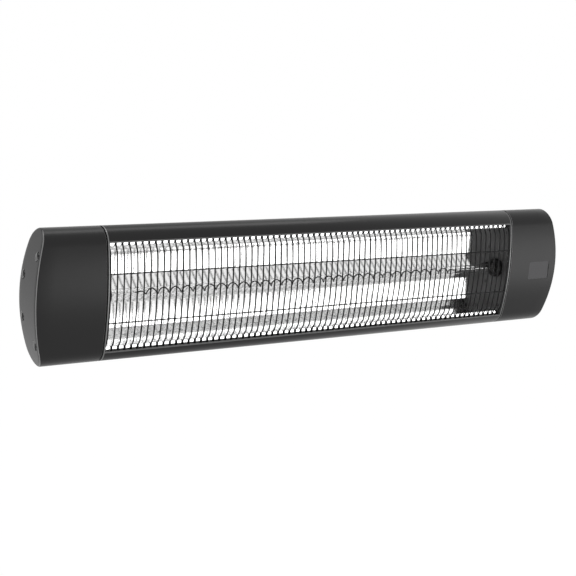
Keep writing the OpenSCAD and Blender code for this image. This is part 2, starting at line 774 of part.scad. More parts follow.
// Cable gland in the back of the right cap
gland_from_end = 48.5;
gland_x = body_half - gland_from_end;
gland_pad_r = 13;
gland_pad = 1;
gland_seat_y = back_depth + gland_pad;
gland_thread_r = 8;
gland_flange = 5;
gland_flats = 20;
gland_dome_r = 9.5;
gland_dome = 14;
gland_dome_tip_r = 7;
gland_inside = 9;
gland_nut_t = 4;
gland_nut_flats = 22;
module at_gland() { in_body() translate([gland_x, 0, 0]) children(); }
module cable_gland() {
    color("#0f0f10") at_gland() difference() {
        union() {
            hex_y(gland_seat_y, gland_flange, gland_flats);
            rod_y(gland_seat_y + gland_flange, gland_dome / 2, gland_dome_r);
            translate([0, gland_seat_y + gland_flange + gland_dome / 2, 0]) rotate([-90, 0, 0])
                cylinder(h = gland_dome / 2, r1 = gland_dome_r, r2 = gland_dome_tip_r);
            rod_y(gland_seat_y - gland_inside, gland_inside + cut, gland_thread_r);
        }
        rod_y(gland_seat_y - gland_inside - cut,
            gland_inside + gland_flange + gland_dome + 2 * cut, gland_bore_r);
    }
}
module gland_nut() {
    color("#161617") at_gland() difference() {
        hex_y(back_depth - cap_wall - gap - gland_nut_t, gland_nut_t, gland_nut_flats);
        rod_y(back_depth - cap_wall - gap - gland_nut_t - cut, gland_nut_t + 2 * cut,
            gland_thread_r + snug);
    }
}

module cap_right() {
    difference() {
        union() {
            cap_blank();
            intersection() {
                cap_form(cap_wall / 2);
                at_board_corners() rod_y(-front_depth, front_depth + board_y, post_r);
            }
            translate([gland_x, 0, 0])
                rod_y(back_depth - cap_wall / 2, cap_wall / 2 + gland_pad, gland_pad_r);
        }
        at_board_corners() rod_y(board_y - post_hole_depth, post_hole_depth + cut, post_hole_r);
        front_plate(window_w, window_h, window_corner_r,
            -front_depth - cut, window_back_y + front_depth + cut);
        front_plate(window_w - 2 * window_ledge, window_h - 2 * window_ledge, window_corner_r,
            -front_depth - cut, front_depth);
        translate([gland_x, 0, 0]) rod_y(0, body_half, gland_thread_r + snug);
        translate([0, switch_y, 0]) {
            translate([switch_x, -switch_w / 2 - gap, -switch_h / 2 - gap])
                cube([body_half, switch_w + 2 * gap, switch_h + 2 * gap]);
            translate([switch_back_x, -switch_w / 2 + bezel_step - snug, -switch_h / 2 + bezel_step - snug])
                cube([body_half, switch_w - 2 * (bezel_step - snug), switch_h - 2 * (bezel_step - snug)]);
        }
    }
}

// Brackets: places along X from the outside in
disc_t = 1;
disc_edge = 1;
disc_play = 0.1;
heater_ear_x = bracket_w / 2 - bracket_t - disc_t - 2 * disc_play;
heater_bracket_h = 44;
rail_screw_x = 50;
rail_screw_r = 2.5;
rail_screw_play = 0.2;
rail_screw_head_r = 4.3;
rail_screw_head_t = 3;
rail_screw_socket = 3;
rail_nut_t = 3.6;
rail_nut_w = 14;
// An ear: a tapered web with a round end about the pivot, from depth y, seen along X
module ear(y, h) {
    polygon([[y, -h / 2], [y, h / 2], [-pivot_from_wall, ear_r], [-pivot_from_wall, -ear_r]]);
    translate([-pivot_from_wall, 0]) circle(ear_r);
}
module pivot_hole(r) { translate([0, -pivot_from_wall, 0]) rod_x(-bracket_w, 2 * bracket_w, r); }
module heater_bracket() {
    base_y = rail_y - body_y;
    color("#202022") difference() {
        union() {
            translate([-heater_ear_x, base_y, -heater_bracket_h / 2])
                cube([2 * heater_ear_x, bracket_t, heater_bracket_h]);
            both_x() along_x(heater_ear_x - bracket_t, bracket_t) ear(base_y, heater_bracket_h);
        }
        pivot_hole(pivot_r + running);
        both_x() translate([rail_screw_x, 0, 0])
            rod_y(base_y - cut, bracket_t + 2 * cut, rail_screw_r + rail_screw_play);
    }
}
module rail_nuts() {
    color("#a9a9ad") in_body() both_x() translate([rail_screw_x, 0, 0]) difference() {
        translate([-rail_nut_w / 2, rail_y - rail_lip - rail_nut_t, -rail_slot_half + gap])
            cube([rail_nut_w, rail_nut_t, 2 * (rail_slot_half - gap)]);
        rod_y(rail_y - rail_lip - rail_nut_t - cut, rail_nut_t + 2 * cut, rail_screw_r + snug);
    }
}
module rail_screws() {
    color("#77777b") in_body() both_x() translate([rail_screw_x, 0, 0]) difference() {
        union() {
            rod_y(rail_y + bracket_t, rail_screw_head_t, rail_screw_head_r);
            rod_y(rail_y - rail_lip - rail_nut_t, rail_nut_t + rail_lip + bracket_t + cut, rail_screw_r);
        }
        hex_y(rail_y + bracket_t + rail_screw_head_t / 2, rail_screw_head_t, rail_screw_socket);
    }
}
module wall_bracket() {
    color("#202022") difference() {
        union() {
            translate([-bracket_w / 2, -bracket_t, -bracket_h / 2]) cube([bracket_w, bracket_t, bracket_h]);
            both_x() along_x(bracket_w / 2 - bracket_t, bracket_t) ear(0, bracket_h);
        }
        pivot_hole(pivot_r + snug);
        for (sx = [-1, 1]) for (sz = [-1, 1]) translate([sx * wall_hole_x / 2, 0, sz * wall_hole_z / 2])
            rod_y(-bracket_t - cut, bracket_t + 2 * cut, wall_hole_r);
    }
}
bolt_flats = 10;
bolt_head = 4;
bolt_past_nut = 2;
washer_r = 6;
washer_t = 1.6;
nut_t = 6;
washer_x = heater_ear_x - bracket_t - disc_play - washer_t;
nut_x = washer_x - nut_t;
module at_pivots() { both_x() translate([0, -pivot_from_wall, 0]) children(); }
module pivot_bolts() {
    color("#8b8b90") at_pivots() {
        hex_x(bracket_w / 2, bolt_head, bolt_flats);
        rod_x(nut_x - bolt_past_nut, bracket_w / 2 + cut - nut_x + bolt_past_nut, pivot_r);
    }
}
module friction_discs() {
    color("#5a4632") at_pivots() difference() {
        rod_x(heater_ear_x + disc_play, disc_t, ear_r - disc_edge);
        rod_x(heater_ear_x, disc_t + 2 * cut, pivot_r + snug);
    }
}
module pivot_washers() {
    color("#9a9aa0") at_pivots() difference() {
        rod_x(washer_x, washer_t, washer_r);
        rod_x(washer_x - cut, washer_t + 2 * cut, pivot_r + snug);
    }
}
module pivot_nuts() {
    color("#8b8b90") at_pivots() difference() {
        hex_x(nut_x, nut_t, bolt_flats);
        rod_x(nut_x - cut, nut_t + 2 * cut, pivot_r + snug);
    }
}

module end_plate_left() { in_body() on_left() end_plate(); }
module end_plate_right() { in_body() end_plate(); }
module plate_screws_left() { in_body() on_left() plate_screws(); }
module plate_screws_right() { in_body() plate_screws(); }
module gasket_left() { in_body() on_left() gasket(); }
module gasket_right() { in_body() gasket(); }
module end_cap_left() { color("#48484a") in_body() on_left() cap_blank(); }
module end_cap_right() { color("#48484a") in_body() cap_right(); }
module cap_pillars_left() { in_body() on_left() cap_pillars(); }
module cap_pillars_right() { in_body() cap_pillars(); }
module cap_screws_left() { in_body() on_left() cap_screws(); }
module cap_screws_right() { in_body() cap_screws(); }
module lamp_end_left() { in_body() on_left() lamp_end(); }
module lamp_end_right() { in_body() lamp_end(); }
module lamp_holder_left() { in_body() on_left() lamp_holder(); }
module lamp_holder_right() { in_body() lamp_holder(); }

housing();
reflector();
guard_grille();
end_plate_left();
end_plate_right();
plate_screws_left();
plate_screws_right();
gasket_left();
gasket_right();
end_cap_left();
end_cap_right();
cap_pillars_left();
cap_pillars_right();
cap_screws_left();
cap_screws_right();
quartz_tube();
filament();
lamp_leads();
lamp_end_left();
lamp_end_right();
lamp_holder_left();
lamp_holder_right();
return_wire();
wire_grommets();
inner_wires();
receiver_window();
control_board();
board_screws();
ir_receiver();
relays();
capacitor();
terminal_block();
thermal_cutout();
switch_housing();
switch_rocker();
cable_gland();
gland_nut();
heater_bracket();
rail_nuts();
rail_screws();
wall_bracket();
pivot_bolts();
friction_discs();
pivot_washers();
pivot_nuts();
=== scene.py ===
# %% [markdown]
# # A wall-mounted electric bar heater
# The object is a long black aluminium body with a lens-shaped section. A mirror trough runs
# along its front, one quartz lamp lies in the trough, and a guard of upright wires covers it.
# Two arched caps close the ends, and a steel bracket lets the heater tilt on the wall.
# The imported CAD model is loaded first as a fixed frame. Everything made below is placed in
# that frame, in metres: X runs along the heater, the wall is the plane Y = 0, and Z is up.

# %% Load the frame
import math

import bmesh
import bpy
from mathutils import Matrix, Vector


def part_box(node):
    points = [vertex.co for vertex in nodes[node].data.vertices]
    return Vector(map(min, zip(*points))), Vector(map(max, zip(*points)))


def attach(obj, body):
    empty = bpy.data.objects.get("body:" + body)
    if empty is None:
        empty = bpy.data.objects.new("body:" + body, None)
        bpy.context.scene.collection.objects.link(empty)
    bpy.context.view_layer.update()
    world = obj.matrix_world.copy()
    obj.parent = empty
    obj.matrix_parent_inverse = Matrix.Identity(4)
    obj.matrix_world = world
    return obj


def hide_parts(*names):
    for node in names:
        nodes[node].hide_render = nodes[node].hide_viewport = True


MM = 0.001
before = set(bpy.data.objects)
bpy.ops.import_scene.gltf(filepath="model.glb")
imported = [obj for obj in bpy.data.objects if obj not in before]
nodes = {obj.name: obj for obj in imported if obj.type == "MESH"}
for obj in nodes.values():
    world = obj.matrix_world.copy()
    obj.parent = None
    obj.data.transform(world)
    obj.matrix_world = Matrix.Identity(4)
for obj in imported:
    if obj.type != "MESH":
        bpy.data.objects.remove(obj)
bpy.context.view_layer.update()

# %% [markdown]
# ## Camera
# The photograph was taken from the front left and a little above, with a long lens, so the
# upright lines stay almost parallel. The place and the three directions below were worked out
# from the corners of the heater's caps and of its opening.

# %% Camera
CAMERA_PLACE = Vector((-0.95420, -1.50802, 0.40556))
CAMERA_RIGHT = Vector((0.85188892, -0.51820639, 0.07581165))
CAMERA_DOWN = Vector((-0.06161655, -0.24292012, -0.9680874))
CAMERA_AHEAD = Vector((0.52008525, 0.82003168, -0.23887105))
SENSOR = 36.0
LENS = 76.78


def place_camera():
    camera = bpy.data.objects.new("camera", bpy.data.cameras.new("camera"))
    camera.data.sensor_width = SENSOR
    camera.data.lens = LENS
    turn = Matrix((CAMERA_RIGHT, -CAMERA_DOWN, -CAMERA_AHEAD)).transposed().to_4x4()
    camera.matrix_world = Matrix.Translation(CAMERA_PLACE) @ turn
    bpy.context.scene.collection.objects.link(camera)
    bpy.context.scene.camera = camera
    return camera


camera = place_camera()
print("camera at", tuple(camera.location), "lens", LENS)

# %% [markdown]
# ## Studio
# A black object shows its shape only through what it reflects. The backdrop is white for the
# camera, and also for mirror and glass, which have to show the white studio. All other rays
# see a grey room, so that the lamps can model the curved faces. The floor lies far below the
# wall heater and keeps its soft shadow.

# %% Node helpers and the white mask
def fed_node(tree, kind, *values):
    """A node whose first inputs are numbers or sockets of other nodes."""
    made = tree.nodes.new(kind)
    for slot, value in zip(made.inputs, values):
        if isinstance(value, (int, float)):
            slot.default_value = value
        else:
            tree.links.new(value, slot)
    return made


def math_node(tree, operation, *values):
    made = fed_node(tree, "ShaderNodeMath", *values)
    made.operation = operation
    return made.outputs[0]


def white_for_eye_and_mirror(tree):
    """A value that is 1 for rays that leave the camera, a mirror or glass, and 0 for others."""
    path = tree.nodes.new("ShaderNodeLightPath")
    seen = math_node(tree, "MAXIMUM", path.outputs["Is Camera Ray"], path.outputs["Is Glossy Ray"])
    return math_node(tree, "MAXIMUM", seen, path.outputs["Is Transmission Ray"])


print("rays that see white: camera, glossy, transmission")


# %% World and floor
ROOM_GREY = 0.3
FLOOR_HEIGHT = -0.9
FLOOR_SIZE = 400.0
FLOOR_GREY = 0.8
FLOOR_ROUGHNESS = 0.9
SHADOW_SHARE = 0.05
FLOOR_GLOW = 1.04


def light_room():
    world = bpy.data.worlds.new("studio")
    world.use_nodes = True
    tree = world.node_tree
    out = tree.nodes["World Output"]
    room = tree.nodes["Background"]
    room.inputs["Color"].default_value = (ROOM_GREY, ROOM_GREY, ROOM_GREY, 1)
    white = tree.nodes.new("ShaderNodeBackground")
    white.inputs["Color"].default_value = (1, 1, 1, 1)
    mix = tree.nodes.new("ShaderNodeMixShader")
    tree.links.new(white_for_eye_and_mirror(tree), mix.inputs["Fac"])
    tree.links.new(room.outputs[0], mix.inputs[1])
    tree.links.new(white.outputs[0], mix.inputs[2])
    tree.links.new(mix.outputs[0], out.inputs["Surface"])
    bpy.context.scene.world = world


def lay_floor():
    material = bpy.data.materials.new("floor_white")
    material.use_nodes = True
    tree = material.node_tree
    matt = tree.nodes["Principled BSDF"]
    matt.inputs["Base Color"].default_value = (FLOOR_GREY, FLOOR_GREY, FLOOR_GREY, 1)
    matt.inputs["Roughness"].default_value = FLOOR_ROUGHNESS
    matt.inputs["Specular IOR Level"].default_value = 0.0
    glow = tree.nodes.new("ShaderNodeEmission")
    glow.inputs["Strength"].default_value = FLOOR_GLOW
    share = math_node(tree, "MULTIPLY", white_for_eye_and_mirror(tree), 1 - SHADOW_SHARE)
    mix = tree.nodes.new("ShaderNodeMixShader")
    tree.links.new(share, mix.inputs["Fac"])
    tree.links.new(matt.outputs[0], mix.inputs[1])
    tree.links.new(glow.outputs[0], mix.inputs[2])
    tree.links.new(mix.outputs[0], tree.nodes["Material Output"].inputs["Surface"])
    half = FLOOR_SIZE / 2
    mesh = bpy.data.meshes.new("floor")
    signs = ((-1, -1), (1, -1), (1, 1), (-1, 1))
    mesh.from_pydata([(x * half, y * half, FLOOR_HEIGHT) for x, y in signs], [], [(0, 1, 2, 3)])
    mesh.materials.append(material)
    floor = bpy.data.objects.new("floor", mesh)
    bpy.context.scene.collection.objects.link(floor)


light_room()
lay_floor()
bpy.context.scene.view_settings.view_transform = "Standard"
print("room grey", ROOM_GREY, "floor at", FLOOR_HEIGHT)

# %% [markdown]
# ## Lamps
# Soft panels stand round the heater. The wide one at the right is what the front of the body
# reflects, more and more towards its right end. It is large and weak, so that the mirror sheet
# doesn't glare and the thin wires stay dark in front of it. The one above draws the light line
# along the top nose, and the strip at the left lights the end of the left cap.

# %% Soft panels
PANELS = {
    "panel_right": ((1.2, -1.75, -0.2), (0.1, -0.08, 0), (2.1, 0.8), 11),
    "strip_left": ((-2.0, -1.15, -0.45), (-0.43, -0.1, 0), (0.3, 1.6), 13),
    "panel_above": ((0.0, 0.3, 1.6), (0, -0.08, 0), (2.2, 0.5), 8),
}


def soft_panel(name, place, aim, size, power):
    data = bpy.data.lights.new(name, "AREA")
    data.shape = "RECTANGLE"
    data.size, data.size_y = size
    data.energy = power
    lamp = bpy.data.objects.new(name, data)
    lamp.location = place
    lamp.rotation_euler = (Vector(aim) - Vector(place)).to_track_quat("-Z", "Y").to_euler()
    lamp.visible_camera = False
    bpy.context.scene.collection.objects.link(lamp)


for name, values in PANELS.items():
    soft_panel(name, *values)
print("lamps:", {name: "%d W" % values[3] for name, values in PANELS.items()})

# %% [markdown]
# ## Shader groups
# Several finishes share the same effects, so each effect is one node group with named inputs.
# `fine_grain` is the tiny unevenness of powder coat, moulded plastic or rubber: it shifts the
# colour and the roughness a little and bends the normal. `drawn_lines` is the same for metal
# that was rolled or drawn along X, so its noise is stretched that way.

# %% Group helpers
FLOAT = "NodeSocketFloat"
COLOR = "NodeSocketColor"
VECTOR = "NodeSocketVector"
FINE_DETAIL = 2.0
BROAD_DETAIL = 3.0
BROAD_SHARE = 0.03
BUMP_DEPTH = 0.2 * MM
LINE_STRETCH = 40.0


def new_group(name, inputs, outputs):
    tree = bpy.data.node_groups.new(name, "ShaderNodeTree")
    for label, kind, value in inputs:
        socket = tree.interface.new_socket(label, in_out="INPUT", socket_type=kind)
        socket.default_value = value
    for label, kind in outputs:
        tree.interface.new_socket(label, in_out="OUTPUT", socket_type=kind)
    start = tree.nodes.new("NodeGroupInput")
    end = tree.nodes.new("NodeGroupOutput")
    return tree, start, end


def grain_group(name, stretch):
    """Noise on Object coordinates, stretched along X, that drives colour, roughness and bump."""
    inputs = [("Color", COLOR, (0.5, 0.5, 0.5, 1)), ("Dark", COLOR, (0.4, 0.4, 0.4, 1)),
              ("Scale", FLOAT, 2000.0), ("Roughness", FLOAT, 0.4), ("Spread", FLOAT, 0.1),
              ("Relief", FLOAT, 0.2)]
    outputs = [("Color", COLOR), ("Roughness", FLOAT), ("Normal", VECTOR)]
    tree, start, end = new_group(name, inputs, outputs)
    place = tree.nodes.new("ShaderNodeTexCoord")
    shape = tree.nodes.new("ShaderNodeMapping")
    shape.inputs["Scale"].default_value = (1 / stretch, 1, 1)
    fine = tree.nodes.new("ShaderNodeTexNoise")
    fine.inputs["Detail"].default_value = FINE_DETAIL
    broad = tree.nodes.new("ShaderNodeTexNoise")
    broad.inputs["Detail"].default_value = BROAD_DETAIL
    mix = tree.nodes.new("ShaderNodeMix")
    mix.data_type = "RGBA"
    bump = tree.nodes.new("ShaderNodeBump")
    bump.inputs["Distance"].default_value = BUMP_DEPTH
    centred = math_node(tree, "SUBTRACT", fine.outputs["Fac"], 0.5)
    rough = math_node(tree, "MULTIPLY_ADD", centred, start.outputs["Spread"],
                      start.outputs["Roughness"])
    link = tree.links.new
    link(place.outputs["Object"], shape.inputs["Vector"])
    for noise in (fine, broad):
        link(shape.outputs[0], noise.inputs["Vector"])
    link(start.outputs["Scale"], fine.inputs["Scale"])
    link(math_node(tree, "MULTIPLY", start.outputs["Scale"], BROAD_SHARE), broad.inputs["Scale"])
    link(broad.outputs["Fac"], mix.inputs["Factor"])
    link(start.outputs["Dark"], mix.inputs["A"])
    link(start.outputs["Color"], mix.inputs["B"])
    link(start.outputs["Relief"], bump.inputs["Strength"])
    link(fine.outputs["Fac"], bump.inputs["Height"])
    link(mix.outputs["Result"], end.inputs["Color"])
    link(rough, end.inputs["Roughness"])
    link(bump.outputs["Normal"], end.inputs["Normal"])
    return tree


fine_grain = grain_group("fine_grain", 1.0)
drawn_lines = grain_group("drawn_lines", LINE_STRETCH)
print("groups:", fine_grain.name, drawn_lines.name)

# %% [markdown]
# ## Finishes
# Every finish is a Principled surface with one of the groups. The values that hold for the
# whole surface, such as how strongly it reflects, are set on the shader itself. A first colour
# and a slightly darker one are mixed by the broad noise, because no real coat is quite even.

# %% Finish helper
def finish(name, color, dark, roughness, group=None, scale=2000.0, spread=0.1, relief=0.2,
           metallic=0.0, specular=0.5, transmission=0.0):
    material = bpy.data.materials.new(name)
    material.use_nodes = True
    tree = material.node_tree
    shader = tree.nodes["Principled BSDF"]
    shader.inputs["Metallic"].default_value = metallic
    shader.inputs["Specular IOR Level"].default_value = specular
    shader.inputs["Transmission Weight"].default_value = transmission
    grain = tree.nodes.new("ShaderNodeGroup")
    grain.node_tree = group or fine_grain
    grain.inputs["Color"].default_value = (*color, 1)
    grain.inputs["Dark"].default_value = (*dark, 1)
    grain.inputs["Scale"].default_value = scale
    grain.inputs["Roughness"].default_value = roughness
    grain.inputs["Spread"].default_value = spread
    grain.inputs["Relief"].default_value = relief
    tree.links.new(grain.outputs["Color"], shader.inputs["Base Color"])
    tree.links.new(grain.outputs["Roughness"], shader.inputs["Roughness"])
    tree.links.new(grain.outputs["Normal"], shader.inputs["Normal"])
    return material


def grey(value):
    return (value, value, value)


print("a finish has its own colours, roughness, grain scale, spread and relief")

# %% [markdown]
# On the real heater, thin light lines run along the lips of the opening and the front rims of the
# caps, where the rounded edges catch the light; here that light is a painted highlight, a lighter
# colour in the finish. The cut edges of the end plates are bare metal. They are too thin to paint
# by hand. A mask finds them by the place or the direction of the surface, and mixes a lighter
# colour into the finish there.

# %% Light edges: painted highlights and bare metal
LIP_Z = 74 * MM
LIP_Y = -95 * MM
CUT_ACROSS = 0.5
RIM_FROM = 0.4
RIM_TO = 0.85
RIM_AHEAD = -0.2
MIX_SOCKETS = {"RGBA": (6, 7, 2), "FLOAT": (2, 3, 0)}


def split(tree, output):
    """X, Y and Z of one output of the Texture Coordinate node."""
    place = tree.nodes.new("ShaderNodeTexCoord")
    parts = tree.nodes.new("ShaderNodeSeparateXYZ")
    tree.links.new(place.outputs[output], parts.inputs[0])
    return parts.outputs


def cut_edge_mask(tree):
    """1 on the cut edges of a sheet that stands across X."""
    across = math_node(tree, "ABSOLUTE", split(tree, "Normal")[0])
    return math_node(tree, "LESS_THAN", across, CUT_ACROSS)


def painted_lip_highlight_mask(tree):
    """1 on the lips of the front opening, where a lighter colour paints the highlight of their
    rounded edges.
    """
    _, y, z = split(tree, "Object")
    inside = math_node(tree, "LESS_THAN", math_node(tree, "ABSOLUTE", z), LIP_Z)
    return math_node(tree, "MULTIPLY", inside, math_node(tree, "LESS_THAN", y, LIP_Y))


def painted_rim_highlight_mask(tree):
    """1 on the round edges at the front of the caps' ends, and on recess dishes facing that way: a
    painted highlight.
    """
    x, y, _ = split(tree, "Normal")
    size = math_node(tree, "ABSOLUTE", x)
    turned = math_node(tree, "MULTIPLY", math_node(tree, "GREATER_THAN", size, RIM_FROM),
                       math_node(tree, "LESS_THAN", size, RIM_TO))
    return math_node(tree, "MULTIPLY", turned, math_node(tree, "LESS_THAN", y, RIM_AHEAD))


def with_bare_edge_and_painted_highlight(material, mask_of, edge, edge_roughness, metallic):
    """Mixes a lighter edge colour where the mask is 1: a painted highlight on lips and cap rims,
    bare metal on plate edges.
    """
    tree = material.node_tree
    shader = tree.nodes["Principled BSDF"]
    mask = mask_of(tree)
    for label, kind, value in (("Base Color", "RGBA", (*edge, 1)),
                               ("Roughness", "FLOAT", edge_roughness)):
        old, new, result = MIX_SOCKETS[kind]
        mix = tree.nodes.new("ShaderNodeMix")
        mix.data_type = kind
        tree.links.new(mask, mix.inputs[0])
        tree.links.new(shader.inputs[label].links[0].from_socket, mix.inputs[old])
        mix.inputs[new].default_value = value
        tree.links.new(mix.outputs[result], shader.inputs[label])
    if metallic:
        tree.links.new(mask, shader.inputs["Metallic"])


print("light lips reach to", round(LIP_Z / MM, 1), "mm from the middle")

# %% [markdown]
# The body and caps are powder-coated in a dull black that reflects little, and the mirror sheet
# is polished aluminium with faint lines along its length. The quartz tube's refraction is set
# below that of real quartz, 1.46, so that the tube stays as faint as it is in the photograph.
# The small parts inside keep the colours that such parts have.

# %% The finishes
coat_black = finish("coat_black", (0.0078, 0.0075, 0.0078), (0.0062, 0.006, 0.0062), 0.3,
                    scale=2600, spread=0.1, relief=0.1, specular=0.29)
# Painted highlight: the lighter grey on the opening's lips stands in for the light their rounded
# edges catch.
with_bare_edge_and_painted_highlight(coat_black, painted_lip_highlight_mask, grey(0.16), 0.4, False)
cap_black = finish("cap_black", (0.008, 0.0077, 0.008), (0.0065, 0.0063, 0.0065), 0.31,
                   scale=2600, spread=0.1, relief=0.1, specular=0.29)
# Painted highlight: the lighter grey on the caps' front rims stands in for the line of light along
# the rounded rim; the screw recesses' dished edges get some of it too.
with_bare_edge_and_painted_highlight(cap_black, painted_rim_highlight_mask, grey(0.3), 0.4, False)
steel_black = finish("steel_black", (0.03, 0.03, 0.03), (0.022, 0.022, 0.022), 0.45,
                     scale=1800, spread=0.12, relief=0.15, specular=0.25)
wire_black = finish("wire_black", (0.012, 0.012, 0.0125), (0.009, 0.009, 0.009), 0.4,
                    scale=2500, spread=0.1, relief=0.05, specular=0.15)
plate_paint = finish("plate_paint", grey(0.12), grey(0.1), 0.5, scale=1500, specular=0.3)
with_bare_edge_and_painted_highlight(plate_paint, cut_edge_mask, grey(0.17), 0.4, True)
mirror_sheet = finish("mirror_sheet", grey(0.91), grey(0.86), 0.1, drawn_lines,
                      scale=500, spread=0.03, relief=0.01, metallic=1.0)
rubber_black = finish("rubber_black", grey(0.006), grey(0.004), 0.8, spread=0.1, specular=0.05)
bare_aluminium = finish("bare_aluminium", grey(0.55), grey(0.45), 0.35, drawn_lines,
                        scale=900, spread=0.15, relief=0.06, metallic=1.0)
zinc = finish("zinc", grey(0.62), grey(0.5), 0.32, scale=900, spread=0.2, relief=0.1, metallic=1.0)
screw_black = finish("screw_black", grey(0.03), grey(0.02), 0.35, scale=1500, specular=0.4)
carbon = finish("carbon", grey(0.035), grey(0.02), 0.6, scale=1500, spread=0.2, relief=0.4,
                specular=0.3)
lead_metal = finish("lead_metal", grey(0.7), grey(0.6), 0.25, drawn_lines, metallic=1.0)
ceramic = finish("ceramic", (0.05, 0.049, 0.047), (0.04, 0.039, 0.038), 0.55, scale=1500,
                 relief=0.3)
holder_black = finish("holder_black", grey(0.008), grey(0.006), 0.5, scale=1500, specular=0.2)
sleeve = finish("sleeve", (0.48, 0.44, 0.38), (0.38, 0.35, 0.3), 0.7, drawn_lines, scale=2500,
                relief=0.5)
plastic_black = finish("plastic_black", grey(0.012), grey(0.009), 0.4, scale=1800, relief=0.2)
rocker_black = finish("rocker_black", grey(0.016), grey(0.013), 0.3, scale=1800, relief=0.1)
window_tint = finish("window_tint", (0.037, 0.035, 0.039), (0.033, 0.032, 0.035), 0.35, scale=900,
                     spread=0.05, relief=0.02, specular=0.35)
board_green = finish("board_green", (0.01, 0.09, 0.03), (0.008, 0.07, 0.025), 0.4, scale=700)
capacitor_blue = finish("capacitor_blue", (0.02, 0.06, 0.16), (0.015, 0.05, 0.13), 0.35)
block_cream = finish("block_cream", (0.6, 0.56, 0.44), (0.52, 0.49, 0.38), 0.5)
friction_fibre = finish("friction_fibre", (0.2, 0.12, 0.07), (0.13, 0.08, 0.05), 0.8,
                        scale=1500, relief=0.6)
quartz = finish("quartz", grey(1.0), grey(0.985), 0.02, scale=300, spread=0.01, relief=0.01,
                transmission=1.0)
QUARTZ_IOR = 1.15
quartz.node_tree.nodes["Principled BSDF"].inputs["IOR"].default_value = QUARTZ_IOR
print("finishes:", len(bpy.data.materials))

# %% [markdown]
# ## Mesh helpers
# A finished piece's object stands at the origin, unturned, with its place in its mesh. The
# body's section is drawn in its own depth measure, counted from the line through the nose
# centres, which lies BODY_Y ahead of the wall.

# %% Section of the body
HALF_HEIGHT = 90 * MM
NOSE_R = 24.3 * MM
FRONT_CROWN = 6.7 * MM
BACK_CROWN = 5.4 * MM
WALL_GAP = 50 * MM
NOSE_Z = HALF_HEIGHT - NOSE_R
FRONT_DEPTH = NOSE_R + FRONT_CROWN
BACK_DEPTH = NOSE_R + BACK_CROWN
BODY_Y = 79.7 * MM
FRONT_R = (FRONT_DEPTH ** 2 + NOSE_Z ** 2 - NOSE_R ** 2) / (2 * FRONT_CROWN)
BACK_R = (BACK_DEPTH ** 2 + NOSE_Z ** 2 - NOSE_R ** 2) / (2 * BACK_CROWN)


def face_depth(z, side):
    """Depth of the front (side -1) or back (side 1) face at a height, and its outward normal."""
    radius, depth = (FRONT_R, FRONT_DEPTH) if side < 0 else (BACK_R, BACK_DEPTH)
    turn = NOSE_Z * radius / (radius - NOSE_R)
    if abs(z) <= turn:
        across = math.sqrt(radius ** 2 - z * z)
        return side * (depth - radius + across), Vector((0, side * across, z)).normalized()
    up = abs(z) - NOSE_Z
    across = math.sqrt(max(NOSE_R ** 2 - up * up, 0.0))
    return side * across, Vector((0, side * across, math.copysign(up, z))).normalized()


print("front radius", round(FRONT_R, 4), "back radius", round(BACK_R, 4))


# %% Turning data into a piece
MERGE = 1e-6
FINE_MERGE = 1e-7
TOOL_MERGE = 1e-8
SHARP = 30.0


def piece(name, points, faces, material, body, slot, *stands_for):
    """A mesh object at the origin, riding on a body and standing for CAD nodes."""
    mesh = bpy.data.meshes.new(name)
    mesh.from_pydata([tuple(p) for p in points], [], faces)
    mesh.validate()
    return mesh_piece(name, mesh, material, body, slot, *stands_for)


def mesh_piece(name, mesh, material, body, slot, *stands_for):
    mesh.name = name
    mesh.materials.clear()
    mesh.materials.append(material)
    thing = bpy.data.objects.new(name, mesh)
    bpy.context.scene.collection.objects.link(thing)
    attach(thing, body)
    if stands_for:
        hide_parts(*stands_for)
    return thing


def clean_mesh(mesh, merge=FINE_MERGE, sharp=SHARP):
    """Merges doubles, points the faces outwards and marks the edges over `sharp` degrees."""
    work = bmesh.new()
    work.from_mesh(mesh)
    bmesh.ops.remove_doubles(work, verts=work.verts, dist=merge)
    bmesh.ops.recalc_face_normals(work, faces=work.faces)
    for face in work.faces:
        face.smooth = True
    for edge in work.edges:
        edge.smooth = len(edge.link_faces) == 2 and edge.calc_face_angle(0) < math.radians(sharp)
    work.to_mesh(mesh)
    work.free()
    return mesh


print("edges over", SHARP, "degrees stay sharp")

# %% [markdown]
# Recesses, holes and notches are cut as a mill cuts them: a closed tool shape is taken away from
# the piece. A tool is a stepped rod, a block or a plate with round corners, so one cut makes both
# a recess and the hole in its floor. The exact solver keeps every wall closed.

# %% Tools and exact cuts
ROD_SIDES = 48
CORNER_STEPS = 6


def stepped_rod(axis, centre, steps):
    """A closed rod along X (0) or Y (1), from (place along the axis, radius) steps."""
    points, faces = [], []
    sides = ROD_SIDES
    for place, radius in steps:
        for k in range(sides):
            angle = 2 * math.pi * k / sides
            a, b = radius * math.cos(angle), radius * math.sin(angle)
            if axis == 0:
                points.append((place, centre[0] + a, centre[1] + b))
            else:
                points.append((centre[0] + a, place, centre[1] + b))
    rings = len(steps)
    for i in range(rings - 1):
        for k in range(sides):
            n = (k + 1) % sides
            faces.append((i * sides + k, i * sides + n, (i + 1) * sides + n, (i + 1) * sides + k))
    faces.append(tuple(range(sides)))
    faces.append(tuple((rings - 1) * sides + k for k in reversed(range(sides))))
    return points, faces


BLOCK_FACES = [(0, 1, 3, 2), (4, 6, 7, 5), (0, 4, 5, 1), (2, 3, 7, 6), (0, 2, 6, 4), (1, 5, 7, 3)]


def block(low, high):
    points = [(x, y, z) for x in (low[0], high[0]) for y in (low[1], high[1])
              for z in (low[2], high[2])]
    return points, BLOCK_FACES


